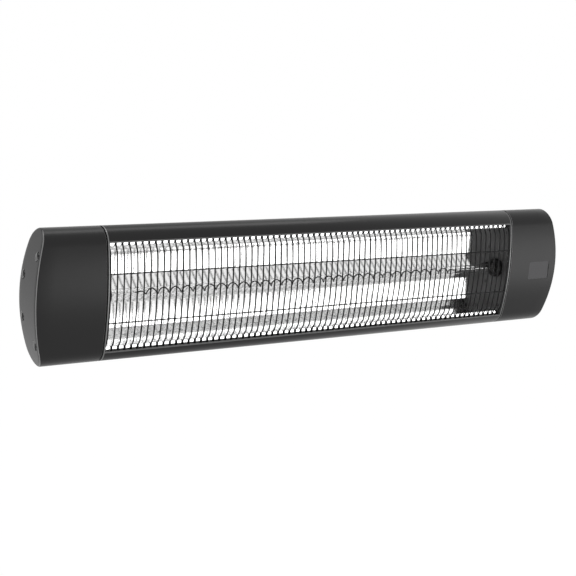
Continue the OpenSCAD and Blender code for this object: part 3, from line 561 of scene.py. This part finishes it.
def rounded_plate(middle, size, corner, y0, y1):
    """A plate with round corners that faces the front, from depth y0 to y1."""
    points, faces = [], []
    outline = []
    for quarter in range(4):
        sx = 1 if quarter in (0, 3) else -1
        sz = 1 if quarter in (0, 1) else -1
        for i in range(CORNER_STEPS + 1):
            angle = math.pi / 2 * (quarter + i / CORNER_STEPS)
            outline.append((middle[0] + sx * (size[0] / 2 - corner) + corner * math.cos(angle),
                            middle[1] + sz * (size[1] / 2 - corner) + corner * math.sin(angle)))
    for y in (y0, y1):
        points += [(x, y, z) for x, z in outline]
    count = len(outline)
    for k in range(count):
        n = (k + 1) % count
        faces.append((k, n, count + n, count + k))
    faces += [tuple(reversed(range(count))), tuple(range(count, 2 * count))]
    return points, faces


def one_mesh(name, shapes):
    points, faces = [], []
    for some_points, some_faces in shapes:
        start = len(points)
        points += some_points
        faces += [tuple(start + k for k in face) for face in some_faces]
    mesh = bpy.data.meshes.new(name)
    mesh.from_pydata([tuple(p) for p in points], [], faces)
    return clean_mesh(mesh, TOOL_MERGE)


def carved(mesh, steps):
    """Applies (operation, shapes) steps to a mesh with exact Boolean modifiers."""
    host = bpy.data.objects.new("carving", mesh)
    bpy.context.scene.collection.objects.link(host)
    tools = []
    for number, (operation, shapes) in enumerate(steps):
        tool = bpy.data.objects.new("tool_%d" % number, one_mesh("tool", shapes))
        bpy.context.scene.collection.objects.link(tool)
        tools.append(tool)
        boolean = host.modifiers.new("boolean_%d" % number, "BOOLEAN")
        boolean.operation = operation
        boolean.solver = "EXACT"
        boolean.object = tool
    seen = host.evaluated_get(bpy.context.evaluated_depsgraph_get())
    result = bpy.data.meshes.new_from_object(seen)
    host.modifiers.clear()
    for thing in tools + [host]:
        bpy.data.objects.remove(thing)
    return result


print("a rod tool has", ROD_SIDES, "sides and a plate", CORNER_STEPS, "steps a corner")


# %% [markdown]
# ## Guard of wires
# Seventy-two black wires stand in front of the trough, 9.4 mm apart. Each one runs straight
# behind the edge of the opening, steps forward, and follows the bow of the front face, and two
# long rails are welded across them. One wire repeats, so Geometry Nodes draw it once: a line is
# copied along X, every copy gets a round section, and the rails join them at the end. Only the
# two bends need extra points, as the bow is so flat that short straight runs follow it.

# %% Path of one wire
WIRE_R = 1.0 * MM
RAIL_R = 0.9 * MM
WIRE_COUNT = 72
WIRE_MARGIN = 1.8 * MM
HOUSING_HALF = 335 * MM
WIRE_PITCH = 2 * (HOUSING_HALF - WIRE_MARGIN) / (WIRE_COUNT - 1)
WIRE_INSET = 1.8 * MM
BEND_Z = 60 * MM
BEND_RUN = 7 * MM
TUCK_Z = 75 * MM
TUCK_DEPTH = -18.97 * MM
BEND_ROUND = 4.0 * MM
BEND_STEPS = 4
BEND_POINTS = 4
RAIL_Z = 32.5 * MM
RAIL_SINK = 0.3 * MM
RAIL_END_GAP = 0.3 * MM
ARC_STEPS = 24


def wire_path():
    """Half of the wire's centre line, from the middle up, as (depth, height)."""
    centre = FRONT_R - FRONT_DEPTH
    radius = FRONT_R - WIRE_INSET
    arc = [(centre - math.sqrt(radius ** 2 - z * z), z)
           for z in (BEND_Z * i / ARC_STEPS for i in range(ARC_STEPS + 1))]
    return arc + [(TUCK_DEPTH, BEND_Z + BEND_RUN), (TUCK_DEPTH, TUCK_Z)]


def rounded(line, reach, steps):
    """The line with each inner corner turned into a short curve."""
    result = [Vector(line[0])]
    for before, corner, after in zip(line, line[1:], line[2:]):
        before, corner, after = Vector(before), Vector(corner), Vector(after)
        a = before - corner
        b = after - corner
        p = corner + a.normalized() * min(reach, a.length / 2)
        q = corner + b.normalized() * min(reach, b.length / 2)
        for i in range(steps + 1):
            t = i / steps
            result.append(p * (1 - t) ** 2 + corner * (2 * t * (1 - t)) + q * t ** 2)
    result.append(Vector(line[-1]))
    return result


path = wire_path()
half_wire = [Vector(p) for p in path[:-BEND_POINTS]]
half_wire += rounded(path[-BEND_POINTS:], BEND_ROUND, BEND_STEPS)
wire_line = [Vector((0, y - BODY_Y, -z)) for y, z in reversed(half_wire[1:])]
wire_line += [Vector((0, y - BODY_Y, z)) for y, z in half_wire]
rail_depth = FRONT_R - FRONT_DEPTH - math.sqrt((FRONT_R - WIRE_INSET) ** 2 - RAIL_Z ** 2)
rail_depth -= WIRE_R + RAIL_R - RAIL_SINK
print("wire points:", len(wire_line), "rail depth:", round(rail_depth / MM, 2), "mm")


# %% Geometry Nodes tree of the guard
TUBE_SIDES = 12


def node_of(tree, kind, **values):
    """A node with named inputs set to plain values."""
    made = tree.nodes.new(kind)
    for key, value in values.items():
        made.inputs[key].default_value = value
    return made


def guard_tree():
    tree = bpy.data.node_groups.new("guard_wires", "GeometryNodeTree")
    face = tree.interface
    face.new_socket("Geometry", in_out="INPUT", socket_type="NodeSocketGeometry")
    sockets = {}
    for label, kind in (("Count", "NodeSocketInt"), ("Pitch", FLOAT), ("Wire Radius", FLOAT),
                        ("Rail Radius", FLOAT), ("Rail Half Length", FLOAT),
                        ("Rail Depth", FLOAT), ("Rail Height", FLOAT),
                        ("Finish", "NodeSocketMaterial")):
        sockets[label] = face.new_socket(label, in_out="INPUT", socket_type=kind).identifier
    face.new_socket("Geometry", in_out="OUTPUT", socket_type="NodeSocketGeometry")
    start = tree.nodes.new("NodeGroupInput")
    end = tree.nodes.new("NodeGroupOutput")
    link = tree.links.new

    def vector(*values):
        return fed_node(tree, "ShaderNodeCombineXYZ", *values).outputs[0]

    def tube(path, radius):
        ring = node_of(tree, "GeometryNodeCurvePrimitiveCircle", Resolution=TUBE_SIDES)
        link(radius, ring.inputs["Radius"])
        skin = tree.nodes.new("GeometryNodeCurveToMesh")
        skin.inputs["Fill Caps"].default_value = True
        link(path, skin.inputs["Curve"])
        link(ring.outputs["Curve"], skin.inputs["Profile Curve"])
        smooth = tree.nodes.new("GeometryNodeSetShadeSmooth")
        link(skin.outputs["Mesh"], smooth.inputs["Geometry"])
        return smooth.outputs["Geometry"]

    count, pitch = start.outputs["Count"], start.outputs["Pitch"]
    span = math_node(tree, "MULTIPLY", math_node(tree, "SUBTRACT", count, 1), pitch)
    row = tree.nodes.new("GeometryNodeMeshLine")
    row.mode = "OFFSET"
    link(count, row.inputs["Count"])
    link(vector(math_node(tree, "MULTIPLY", span, -0.5)), row.inputs["Start Location"])
    link(vector(pitch), row.inputs["Offset"])
    line = tree.nodes.new("GeometryNodeMeshToCurve")
    link(start.outputs["Geometry"], line.inputs["Mesh"])
    copies = tree.nodes.new("GeometryNodeInstanceOnPoints")
    link(row.outputs["Mesh"], copies.inputs["Points"])
    link(line.outputs["Curve"], copies.inputs["Instance"])
    wires = tree.nodes.new("GeometryNodeRealizeInstances")
    link(copies.outputs["Instances"], wires.inputs["Geometry"])
    join = tree.nodes.new("GeometryNodeJoinGeometry")
    link(tube(wires.outputs["Geometry"], start.outputs["Wire Radius"]), join.inputs[0])
    reach = start.outputs["Rail Half Length"]
    back = math_node(tree, "MULTIPLY", reach, -1)
    depth, height = start.outputs["Rail Depth"], start.outputs["Rail Height"]
    for level in (height, math_node(tree, "MULTIPLY", height, -1)):
        rail = tree.nodes.new("GeometryNodeCurvePrimitiveLine")
        link(vector(back, depth, level), rail.inputs["Start"])
        link(vector(reach, depth, level), rail.inputs["End"])
        link(tube(rail.outputs["Curve"], start.outputs["Rail Radius"]), join.inputs[0])
    whole = tree.nodes.new("GeometryNodeRealizeInstances")
    link(join.outputs["Geometry"], whole.inputs["Geometry"])
    paint = tree.nodes.new("GeometryNodeSetMaterial")
    link(whole.outputs["Geometry"], paint.inputs["Geometry"])
    link(start.outputs["Finish"], paint.inputs["Material"])
    link(paint.outputs["Geometry"], end.inputs["Geometry"])
    return tree, sockets


def grown_mesh(name, host_mesh, tree, values):
    """Runs a Geometry Nodes tree on a mesh and returns the plain mesh that it makes."""
    host = bpy.data.objects.new(name + "_host", host_mesh)
    bpy.context.scene.collection.objects.link(host)
    modifier = host.modifiers.new("grow", "NODES")
    modifier.node_group = tree
    for identifier, value in values.items():
        modifier[identifier] = value
    seen = host.evaluated_get(bpy.context.evaluated_depsgraph_get())
    mesh = bpy.data.meshes.new_from_object(seen)
    host.modifiers.clear()
    bpy.data.objects.remove(host)
    return mesh


guard_nodes, guard_sockets = guard_tree()
print("guard tree inputs:", list(guard_sockets))


# %% Grow the guard
def polyline(name, points):
    mesh = bpy.data.meshes.new(name)
    mesh.from_pydata([tuple(p) for p in points], [(i, i + 1) for i in range(len(points) - 1)], [])
    return mesh


guard_values = {"Count": WIRE_COUNT, "Pitch": WIRE_PITCH, "Wire Radius": WIRE_R,
                "Rail Radius": RAIL_R, "Rail Half Length": HOUSING_HALF - RAIL_END_GAP,
                "Rail Depth": rail_depth - BODY_Y, "Rail Height": RAIL_Z, "Finish": wire_black}
guard_mesh = grown_mesh("guard", polyline("wire_line", wire_line), guard_nodes,
                        {guard_sockets[k]: v for k, v in guard_values.items()})
guard = mesh_piece("guard_wires", guard_mesh, wire_black, "heater", "wire_coat", "guard_grille")
print("guard:", len(guard.data.vertices), "points,", len(guard.data.polygons), "faces")

# %% [markdown]
# ## Mirror trough
# A thin sheet of polished aluminium is folded along its length. Its flanges hang behind the
# edges of the opening, and its walls turn inwards in a few flat steps, which throws the heat
# forward. A folded sheet is one line pushed along X, so the same line as in the CAD is used,
# with its folds rounded as a press brake leaves them. At both ends it is cut away round the
# lamp's holders.

# %% Folded sheet
SHEET_T = 0.8 * MM
TROUGH = [(-17.67, 77), (-17.67, 66.3), (4, 58.3), (19, 54), (19, 19)]
RIDGE = (8, 0)
FOLD_ROUND = 1.2 * MM
FOLD_STEPS = 5
SHEET_CUTS = 24
SHEET_SHARP = 35.0
LAMP_DEPTH = -4 * MM
NOTCH_R = 14.7 * MM
NOTCH_FROM = 324.7 * MM
NOTCH_TO = 336 * MM


def sheet_line(half, reach):
    mirrored = [(y, -z) for y, z in reversed(half)]
    whole = [Vector((y * MM, z * MM)) for y, z in half + [RIDGE] + mirrored]
    return rounded(whole, reach, FOLD_STEPS)


def offset_line(line, distance):
    """The line moved sideways, to the back of the sheet."""
    moved = []
    for i, point in enumerate(line):
        along = (line[min(i + 1, len(line) - 1)] - line[max(i - 1, 0)]).normalized()
        moved.append(point + Vector((-along.y, along.x)) * distance)
    return moved


def extrude_x(outline, x0, x1, cuts):
    """A closed outline of (depth, height) pushed along X, with both ends filled."""
    points, faces = [], []
    count = len(outline)
    for i in range(cuts + 1):
        x = x0 + (x1 - x0) * i / cuts
        points += [Vector((x, p[0] - BODY_Y, p[1])) for p in outline]
    for i in range(cuts):
        for k in range(count):
            a, b = i * count + k, i * count + (k + 1) % count
            faces.append((a, b, b + count, a + count))
    return points, faces, count


front_line = sheet_line(TROUGH, FOLD_ROUND)
back_line = offset_line(front_line, SHEET_T)
points, faces, count = extrude_x(front_line + back_line[::-1], -HOUSING_HALF, HOUSING_HALF,
                                 SHEET_CUTS)
half = count // 2
for ring in (0, len(points) - count):
    faces += [(ring + k, ring + k + 1, ring + count - 2 - k, ring + count - 1 - k)
              for k in range(half - 1)]
sheet = one_mesh("trough_sheet", [(points, faces)])
notches = [stepped_rod(0, (LAMP_DEPTH - BODY_Y, 0), [(side * NOTCH_FROM, NOTCH_R),
                                                     (side * NOTCH_TO, NOTCH_R)])
           for side in (-1, 1)]
sheet = clean_mesh(carved(sheet, [("DIFFERENCE", notches)]), MERGE, SHEET_SHARP)
mesh_piece("mirror_trough", sheet, mirror_sheet, "heater", "mirror_sheet", "reflector")
print("trough line points:", len(front_line), "faces:", len(sheet.polygons))

# %% [markdown]
# ## Lamp
# Inside the quartz tube a carbon strand is wound into an open spiral. It hangs between two
# straight leads, and over its first and last turn it closes onto the axis. A spiral is a
# formula, so its points are worked out and a round section is swept along them.

# %% Heating strand
COIL_R = 4.0 * MM
STRAND_R = 0.9 * MM
COIL_PITCH = 17.5 * MM
COIL_START = -284.5 * MM
COIL_END = 250 * MM
RINGS_A_TURN = 24
STRAND_SIDES = 8
STRAND_TAIL = 4 * STRAND_R


def ease(t):
    t = max(0.0, min(1.0, t))
    return t * t * (3 - 2 * t)


def coil_line():
    turns = (COIL_END - COIL_START) / COIL_PITCH
    steps = math.ceil(turns * RINGS_A_TURN)
    axis_y = LAMP_DEPTH - BODY_Y
    line = [Vector((COIL_START - STRAND_TAIL, axis_y, 0))]
    for i in range(steps + 1):
        t = i / steps
        turn = turns * t
        r = COIL_R * ease(min(turn, turns - turn))
        angle = 2 * math.pi * turn
        line.append(Vector((COIL_START + t * (COIL_END - COIL_START),
                            axis_y + r * math.cos(angle), r * math.sin(angle))))
    line.append(Vector((COIL_END + STRAND_TAIL, axis_y, 0)))
    return line


def swept_tube(line, radius, sides):
    """Rings round a line, turned with it, and closed at both ends."""
    points, faces = [], []
    last = len(line) - 1
    across = Vector((0, 0, 1))
    for i, point in enumerate(line):
        along = (line[min(i + 1, last)] - line[max(i - 1, 0)]).normalized()
        side = along.cross(across).normalized()
        across = side.cross(along)
        for k in range(sides):
            angle = 2 * math.pi * k / sides
            points.append(point + (side * math.cos(angle) + across * math.sin(angle)) * radius)
    for i in range(last):
        for k in range(sides):
            a, b = i * sides + k, i * sides + (k + 1) % sides
            faces.append((a, b, b + sides, a + sides))
    faces.append(tuple(range(sides)))
    faces.append(tuple(last * sides + k for k in reversed(range(sides))))
    return points, faces


strand = piece("heating_strand", *swept_tube(coil_line(), STRAND_R, STRAND_SIDES), carbon,
               "heater", "carbon", "filament")
clean_mesh(strand.data)
print("strand faces:", len(strand.data.polygons))

# %% [markdown]
# ## End caps
# Each cap is a die-cast cup. Its open side has the body's section, its closed side is an arc
# seen from the front, and a soft rim runs between its side and its end; the thin line of light
# along that rim is a painted highlight in the cap's finish. The shape follows a rule, so every
# point is worked out: the section is sampled at chosen heights, rings of it are pushed along X,
# and the rim's rings shrink as they turn over the edge. Screw recesses and openings are cut
# afterwards, as a mill would do it.

# %% Rings of a cap
BODY_HALF = 433.5 * MM
CAP_X = 338.5 * MM
CAP_END_R = 274 * MM
CAP_WALL = 3 * MM
RIM_R = 2.2 * MM
RIM_STEPS = 5
EDGE_BREAK = 0.4 * MM
SIDE_RINGS = 4
END_COLUMNS = 10
NOSE_LEVELS = 14
FACE_LEVELS = 20
FACE_TURN = 69 * MM


def cap_heights():
    """Heights at which the section is sampled, closer together round the noses."""
    low = math.asin((FACE_TURN - NOSE_Z) / NOSE_R)
    nose = [NOSE_Z + NOSE_R * math.sin(low + (math.pi / 2 - low) * i / NOSE_LEVELS)
            for i in range(NOSE_LEVELS + 1)]
    upper = [FACE_TURN * i / FACE_LEVELS for i in range(FACE_LEVELS)] + nose
    return [-z for z in reversed(upper[1:])] + upper


def section_point(z, side, inset):
    depth, out = face_depth(z, side)
    return Vector((depth - out.y * inset, z - out.z * inset))


def end_of_cap(z, shrink=0.0):
    return BODY_HALF - CAP_END_R + math.sqrt((CAP_END_R - shrink) ** 2 - z * z)


def cap_cup():
    heights = cap_heights()
    levels = len(heights)
    around = 2 * levels - 2
    points, faces = [], []

    def ring(inset, place):
        """Adds one ring, up the front and down the back, and returns where it starts."""
        start = len(points)
        sides = [(z, -1) for z in heights] + [(z, 1) for z in reversed(heights[1:-1])]
        for z, side in sides:
            p = section_point(z, side, inset)
            points.append(Vector((place(p.y), p.x - BODY_Y, p.y)))
        return start

    def bridge(a, b):
        for k in range(around):
            n = (k + 1) % around
            faces.append((a + k, a + n, b + n, b + k))

    def close_end(start, shrink):
        """Fills a ring with rows between its front and back points."""
        rows = [[start] * (END_COLUMNS + 1)]
        for level in range(1, levels - 1):
            front, back = points[start + level], points[start + around - level]
            row = [start + level]
            for k in range(1, END_COLUMNS):
                p = front.lerp(back, k / END_COLUMNS)
                p.x = end_of_cap(p.z, shrink)
                row.append(len(points))
                points.append(p)
            rows.append(row + [start + around - level])
        rows.append([start + levels - 1] * (END_COLUMNS + 1))
        for low, high in zip(rows, rows[1:]):
            for k in range(END_COLUMNS):
                corners = dict.fromkeys((low[k], low[k + 1], high[k + 1], high[k]))
                faces.append(tuple(corners))

    first = ring(EDGE_BREAK, lambda z: CAP_X)
    rings = [first, ring(0, lambda z: CAP_X + EDGE_BREAK)]
    for i in range(1, SIDE_RINGS + 1):
        part = i / SIDE_RINGS
        rings.append(ring(0, lambda z: (1 - part) * (CAP_X + EDGE_BREAK)
                          + part * (end_of_cap(z) - RIM_R)))
    for i in range(1, RIM_STEPS + 1):
        turn = math.pi / 2 * i / RIM_STEPS
        rings.append(ring(RIM_R * (1 - math.cos(turn)),
                          lambda z: end_of_cap(z) - RIM_R * (1 - math.sin(turn))))
    for a, b in zip(rings, rings[1:]):
        bridge(a, b)
    close_end(rings[-1], 0.0)
    inner = [ring(CAP_WALL, lambda z: CAP_X), ring(CAP_WALL, lambda z: end_of_cap(z, CAP_WALL))]
    bridge(first, inner[0])
    bridge(inner[0], inner[1])
    close_end(inner[1], CAP_WALL)
    mesh = bpy.data.meshes.new("cap_cup")
    mesh.from_pydata([tuple(p) for p in points], [], faces)
    return clean_mesh(mesh)


print("cap levels:", len(cap_heights()), "length:", round((end_of_cap(0) - CAP_X) / MM, 1), "mm")

# %% [markdown]
# Four screws hold each cap. Each one sits in a recess with a dished mouth, and a boss inside the
# cup gives its thread length. The same list of places serves the bosses, the recesses and both
# caps, and the left cap is the mirrored cup.

# %% Screw bosses and recesses
CAP_SCREWS = [(-16.11 * MM, 58.5 * MM), (18.78 * MM, 28 * MM)]
RECESS_R = 5 * MM
RECESS_DEPTH = 5 * MM
DISH_FROM = 3.4 * MM
DISH_R = 6.6 * MM
BOSS_R = 6.2 * MM
BOSS_FLOOR = 3 * MM
BOSS_SINK = 0.1 * MM
SCREW_HOLE_R = 2.02 * MM


def screw_places():
    return [(y - BODY_Y, s * z) for y, z in CAP_SCREWS for s in (-1, 1)]


def seat_of(z):
    return end_of_cap(abs(z)) - RECESS_DEPTH


bosses = [stepped_rod(0, (y, z), [(seat_of(z) - BOSS_FLOOR, BOSS_R),
                                  (end_of_cap(abs(z) + BOSS_R) - BOSS_SINK, BOSS_R)])
          for y, z in screw_places()]
recesses = [stepped_rod(0, (y, z), [(seat_of(z) - 2 * BOSS_FLOOR, SCREW_HOLE_R),
                                    (seat_of(z), SCREW_HOLE_R), (seat_of(z), RECESS_R),
                                    (seat_of(z) + DISH_FROM, RECESS_R),
                                    (seat_of(z) + RECESS_DEPTH, DISH_R),
                                    (BODY_HALF + RECESS_DEPTH, DISH_R + RECESS_DEPTH)])
            for y, z in screw_places()]
left_cap = carved(cap_cup(), [("UNION", bosses), ("DIFFERENCE", recesses)])
print("left cap faces:", len(left_cap.polygons))

# %% Left cap
left_cap.transform(Matrix.Diagonal((-1, 1, 1, 1)))
clean_mesh(left_cap)
mesh_piece("cap_left", left_cap, cap_black, "heater", "cap_coat", "end_cap_left")
print("left cap mirrored")

# %% [markdown]
# The right cap also has the receiver window in its front, the cable gland in its back, and the
# rocker switch in its end, each with its own opening, and four posts inside for the board.

# %% Right cap
WINDOW_X = 398.3 * MM
WINDOW_Z = -2 * MM
WINDOW_SIZE = (41 * MM, 28 * MM)
WINDOW_CORNER = 1.5 * MM
WINDOW_LEDGE = 2 * MM
WINDOW_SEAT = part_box("receiver_window")[1][1]
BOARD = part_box("control_board")
POST_IN = 4 * MM
POST_R = 3 * MM
POST_HOLE_R = 1.25 * MM
POST_HOLE = 7 * MM
GLAND_X = 385 * MM
GLAND_PAD_R = 13 * MM
GLAND_PAD = 1 * MM
GLAND_HOLE_R = 8.02 * MM
SWITCH_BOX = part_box("switch_housing")
SWITCH_HALF = [(SWITCH_BOX[1][i] - SWITCH_BOX[0][i]) / 2 for i in (1, 2)]
SWITCH_Y = 4 * MM - BODY_Y
SWITCH_X = BODY_HALF - 1 * MM
BEZEL_STEP = 0.78 * MM
GAP = 0.3 * MM
FAR = 30 * MM


def right_cap_steps():
    back = BACK_DEPTH - BODY_Y
    posts, post_holes = [], []
    for x in (BOARD[0][0] + POST_IN, BOARD[1][0] - POST_IN):
        for z in (BOARD[0][2] + POST_IN, BOARD[1][2] - POST_IN):
            front = face_depth(abs(z) + POST_R, -1)[0] - BODY_Y + CAP_WALL / 2
            posts.append(stepped_rod(1, (x, z), [(front, POST_R), (BOARD[0][1], POST_R)]))
            post_holes.append(stepped_rod(1, (x, z), [(BOARD[0][1] - POST_HOLE, POST_HOLE_R),
                                                      (BOARD[0][1] + GAP, POST_HOLE_R)]))
    pad = stepped_rod(1, (GLAND_X, 0), [(back - CAP_WALL / 2, GLAND_PAD_R),
                                        (back + GLAND_PAD, GLAND_PAD_R)])
    hole = stepped_rod(1, (GLAND_X, 0), [(back - FAR / 2, GLAND_HOLE_R),
                                         (back + FAR, GLAND_HOLE_R)])
    half_w, half_h = SWITCH_HALF
    recess = block((SWITCH_X, SWITCH_Y - half_w - GAP, -half_h - GAP),
                   (SWITCH_X + FAR, SWITCH_Y + half_w + GAP, half_h + GAP))
    shaft = block((SWITCH_X - FAR / 2, SWITCH_Y - half_w + BEZEL_STEP, -half_h + BEZEL_STEP),
                  (SWITCH_X + FAR, SWITCH_Y + half_w - BEZEL_STEP, half_h - BEZEL_STEP))
    front = -FRONT_DEPTH - BODY_Y - GAP
    window = rounded_plate((WINDOW_X, WINDOW_Z), WINDOW_SIZE, WINDOW_CORNER, front, WINDOW_SEAT)
    inner_size = [side - 2 * WINDOW_LEDGE for side in WINDOW_SIZE]
    ledge = rounded_plate((WINDOW_X, WINDOW_Z), inner_size, WINDOW_CORNER, front,
                          WINDOW_SEAT + FAR / 2)
    return [("UNION", bosses + posts + [pad]),
            ("DIFFERENCE", recesses + post_holes + [hole, recess, window]),
            ("DIFFERENCE", [shaft, ledge])]


right_cap = clean_mesh(carved(cap_cup(), right_cap_steps()))
mesh_piece("cap_right", right_cap, cap_black, "heater", "cap_coat", "end_cap_right")
print("right cap faces:", len(right_cap.polygons))

# %% [markdown]
# ## The parts that the CAD already has right
# A CAD part is loose triangles. Merging its points, rounding its corners a little and shading
# it smooth by angle makes it ready, without moving any of its own points. The smoothing is a
# small Geometry Nodes tree, because it has to come after the other two modifiers.

# %% Smoothing tree
def smooth_tree():
    tree = bpy.data.node_groups.new("smooth_by_angle", "GeometryNodeTree")
    face = tree.interface
    face.new_socket("Geometry", in_out="INPUT", socket_type="NodeSocketGeometry")
    angle = face.new_socket("Angle", in_out="INPUT", socket_type=FLOAT).identifier
    face.new_socket("Geometry", in_out="OUTPUT", socket_type="NodeSocketGeometry")
    start = tree.nodes.new("NodeGroupInput")
    end = tree.nodes.new("NodeGroupOutput")
    bare = node_of(tree, "GeometryNodeRemoveAttribute", Name="custom_normal")
    soft = tree.nodes.new("GeometryNodeSetShadeSmooth")
    hard = tree.nodes.new("GeometryNodeSetShadeSmooth")
    hard.domain = "EDGE"
    hard.inputs["Shade Smooth"].default_value = False
    turn = tree.nodes.new("GeometryNodeInputMeshEdgeAngle")
    over = math_node(tree, "GREATER_THAN", turn.outputs["Unsigned Angle"], start.outputs["Angle"])
    link = tree.links.new
    link(start.outputs["Geometry"], bare.inputs["Geometry"])
    link(bare.outputs["Geometry"], soft.inputs["Geometry"])
    link(soft.outputs["Geometry"], hard.inputs["Geometry"])
    link(over, hard.inputs["Selection"])
    link(hard.outputs["Geometry"], end.inputs["Geometry"])
    return tree, angle


smooth_nodes, angle_socket = smooth_tree()
print("smoothing tree:", len(smooth_nodes.nodes), "nodes")

# %% [markdown]
# Each CAD part gets its finish by name. The housing, the brackets and the lamp holders also get
# small round corners, because an edge that is quite sharp never catches the light.

# %% Dress the CAD parts
ROUND_OVER = 40.0
ROUND_SEGMENTS = 2


def dress(name, material, round_off):
    """Gives a CAD part its finish, rounded corners and smooth shading."""
    thing = nodes[name]
    weld = thing.modifiers.new("weld", "WELD")
    weld.merge_threshold = MERGE
    if round_off:
        bevel = thing.modifiers.new("round_off", "BEVEL")
        bevel.limit_method = "ANGLE"
        bevel.angle_limit = math.radians(ROUND_OVER)
        bevel.width = round_off
        bevel.segments = ROUND_SEGMENTS
    smooth = thing.modifiers.new("smooth", "NODES")
    smooth.node_group = smooth_nodes
    smooth[angle_socket] = math.radians(SHARP)
    if not thing.material_slots:
        thing.data.materials.append(material)
    for slot in thing.material_slots:
        slot.material = material


DRESS = {
    "housing": (coat_black, 0.9 * MM),
    "end_plate_left": (plate_paint, 0), "end_plate_right": (plate_paint, 0),
    "plate_screws_left": (screw_black, 0), "plate_screws_right": (screw_black, 0),
    "gasket_left": (rubber_black, 0), "gasket_right": (rubber_black, 0),
    "cap_pillars_left": (screw_black, 0), "cap_pillars_right": (screw_black, 0),
    "cap_screws_left": (screw_black, 0), "cap_screws_right": (screw_black, 0),
    "quartz_tube": (quartz, 0), "lamp_leads": (lead_metal, 0),
    "lamp_end_left": (ceramic, 0), "lamp_end_right": (ceramic, 0),
    "lamp_holder_left": (holder_black, 3 * MM), "lamp_holder_right": (holder_black, 3 * MM),
    "return_wire": (sleeve, 0), "wire_grommets": (rubber_black, 0), "inner_wires": (sleeve, 0),
    "receiver_window": (window_tint, 0), "control_board": (board_green, 0),
    "board_screws": (zinc, 0), "ir_receiver": (plastic_black, 0), "relays": (plastic_black, 0),
    "capacitor": (capacitor_blue, 0), "terminal_block": (block_cream, 0),
    "thermal_cutout": (bare_aluminium, 0), "switch_housing": (plastic_black, 0),
    "switch_rocker": (rocker_black, 0), "cable_gland": (plastic_black, 0),
    "gland_nut": (plastic_black, 0), "heater_bracket": (steel_black, 0.4 * MM),
    "rail_nuts": (zinc, 0), "rail_screws": (zinc, 0), "wall_bracket": (steel_black, 0.4 * MM),
    "pivot_bolts": (zinc, 0), "friction_discs": (friction_fibre, 0),
    "pivot_washers": (zinc, 0), "pivot_nuts": (zinc, 0),
}
for name, (material, round_off) in DRESS.items():
    dress(name, material, round_off)
print("dressed", len(DRESS), "CAD parts")
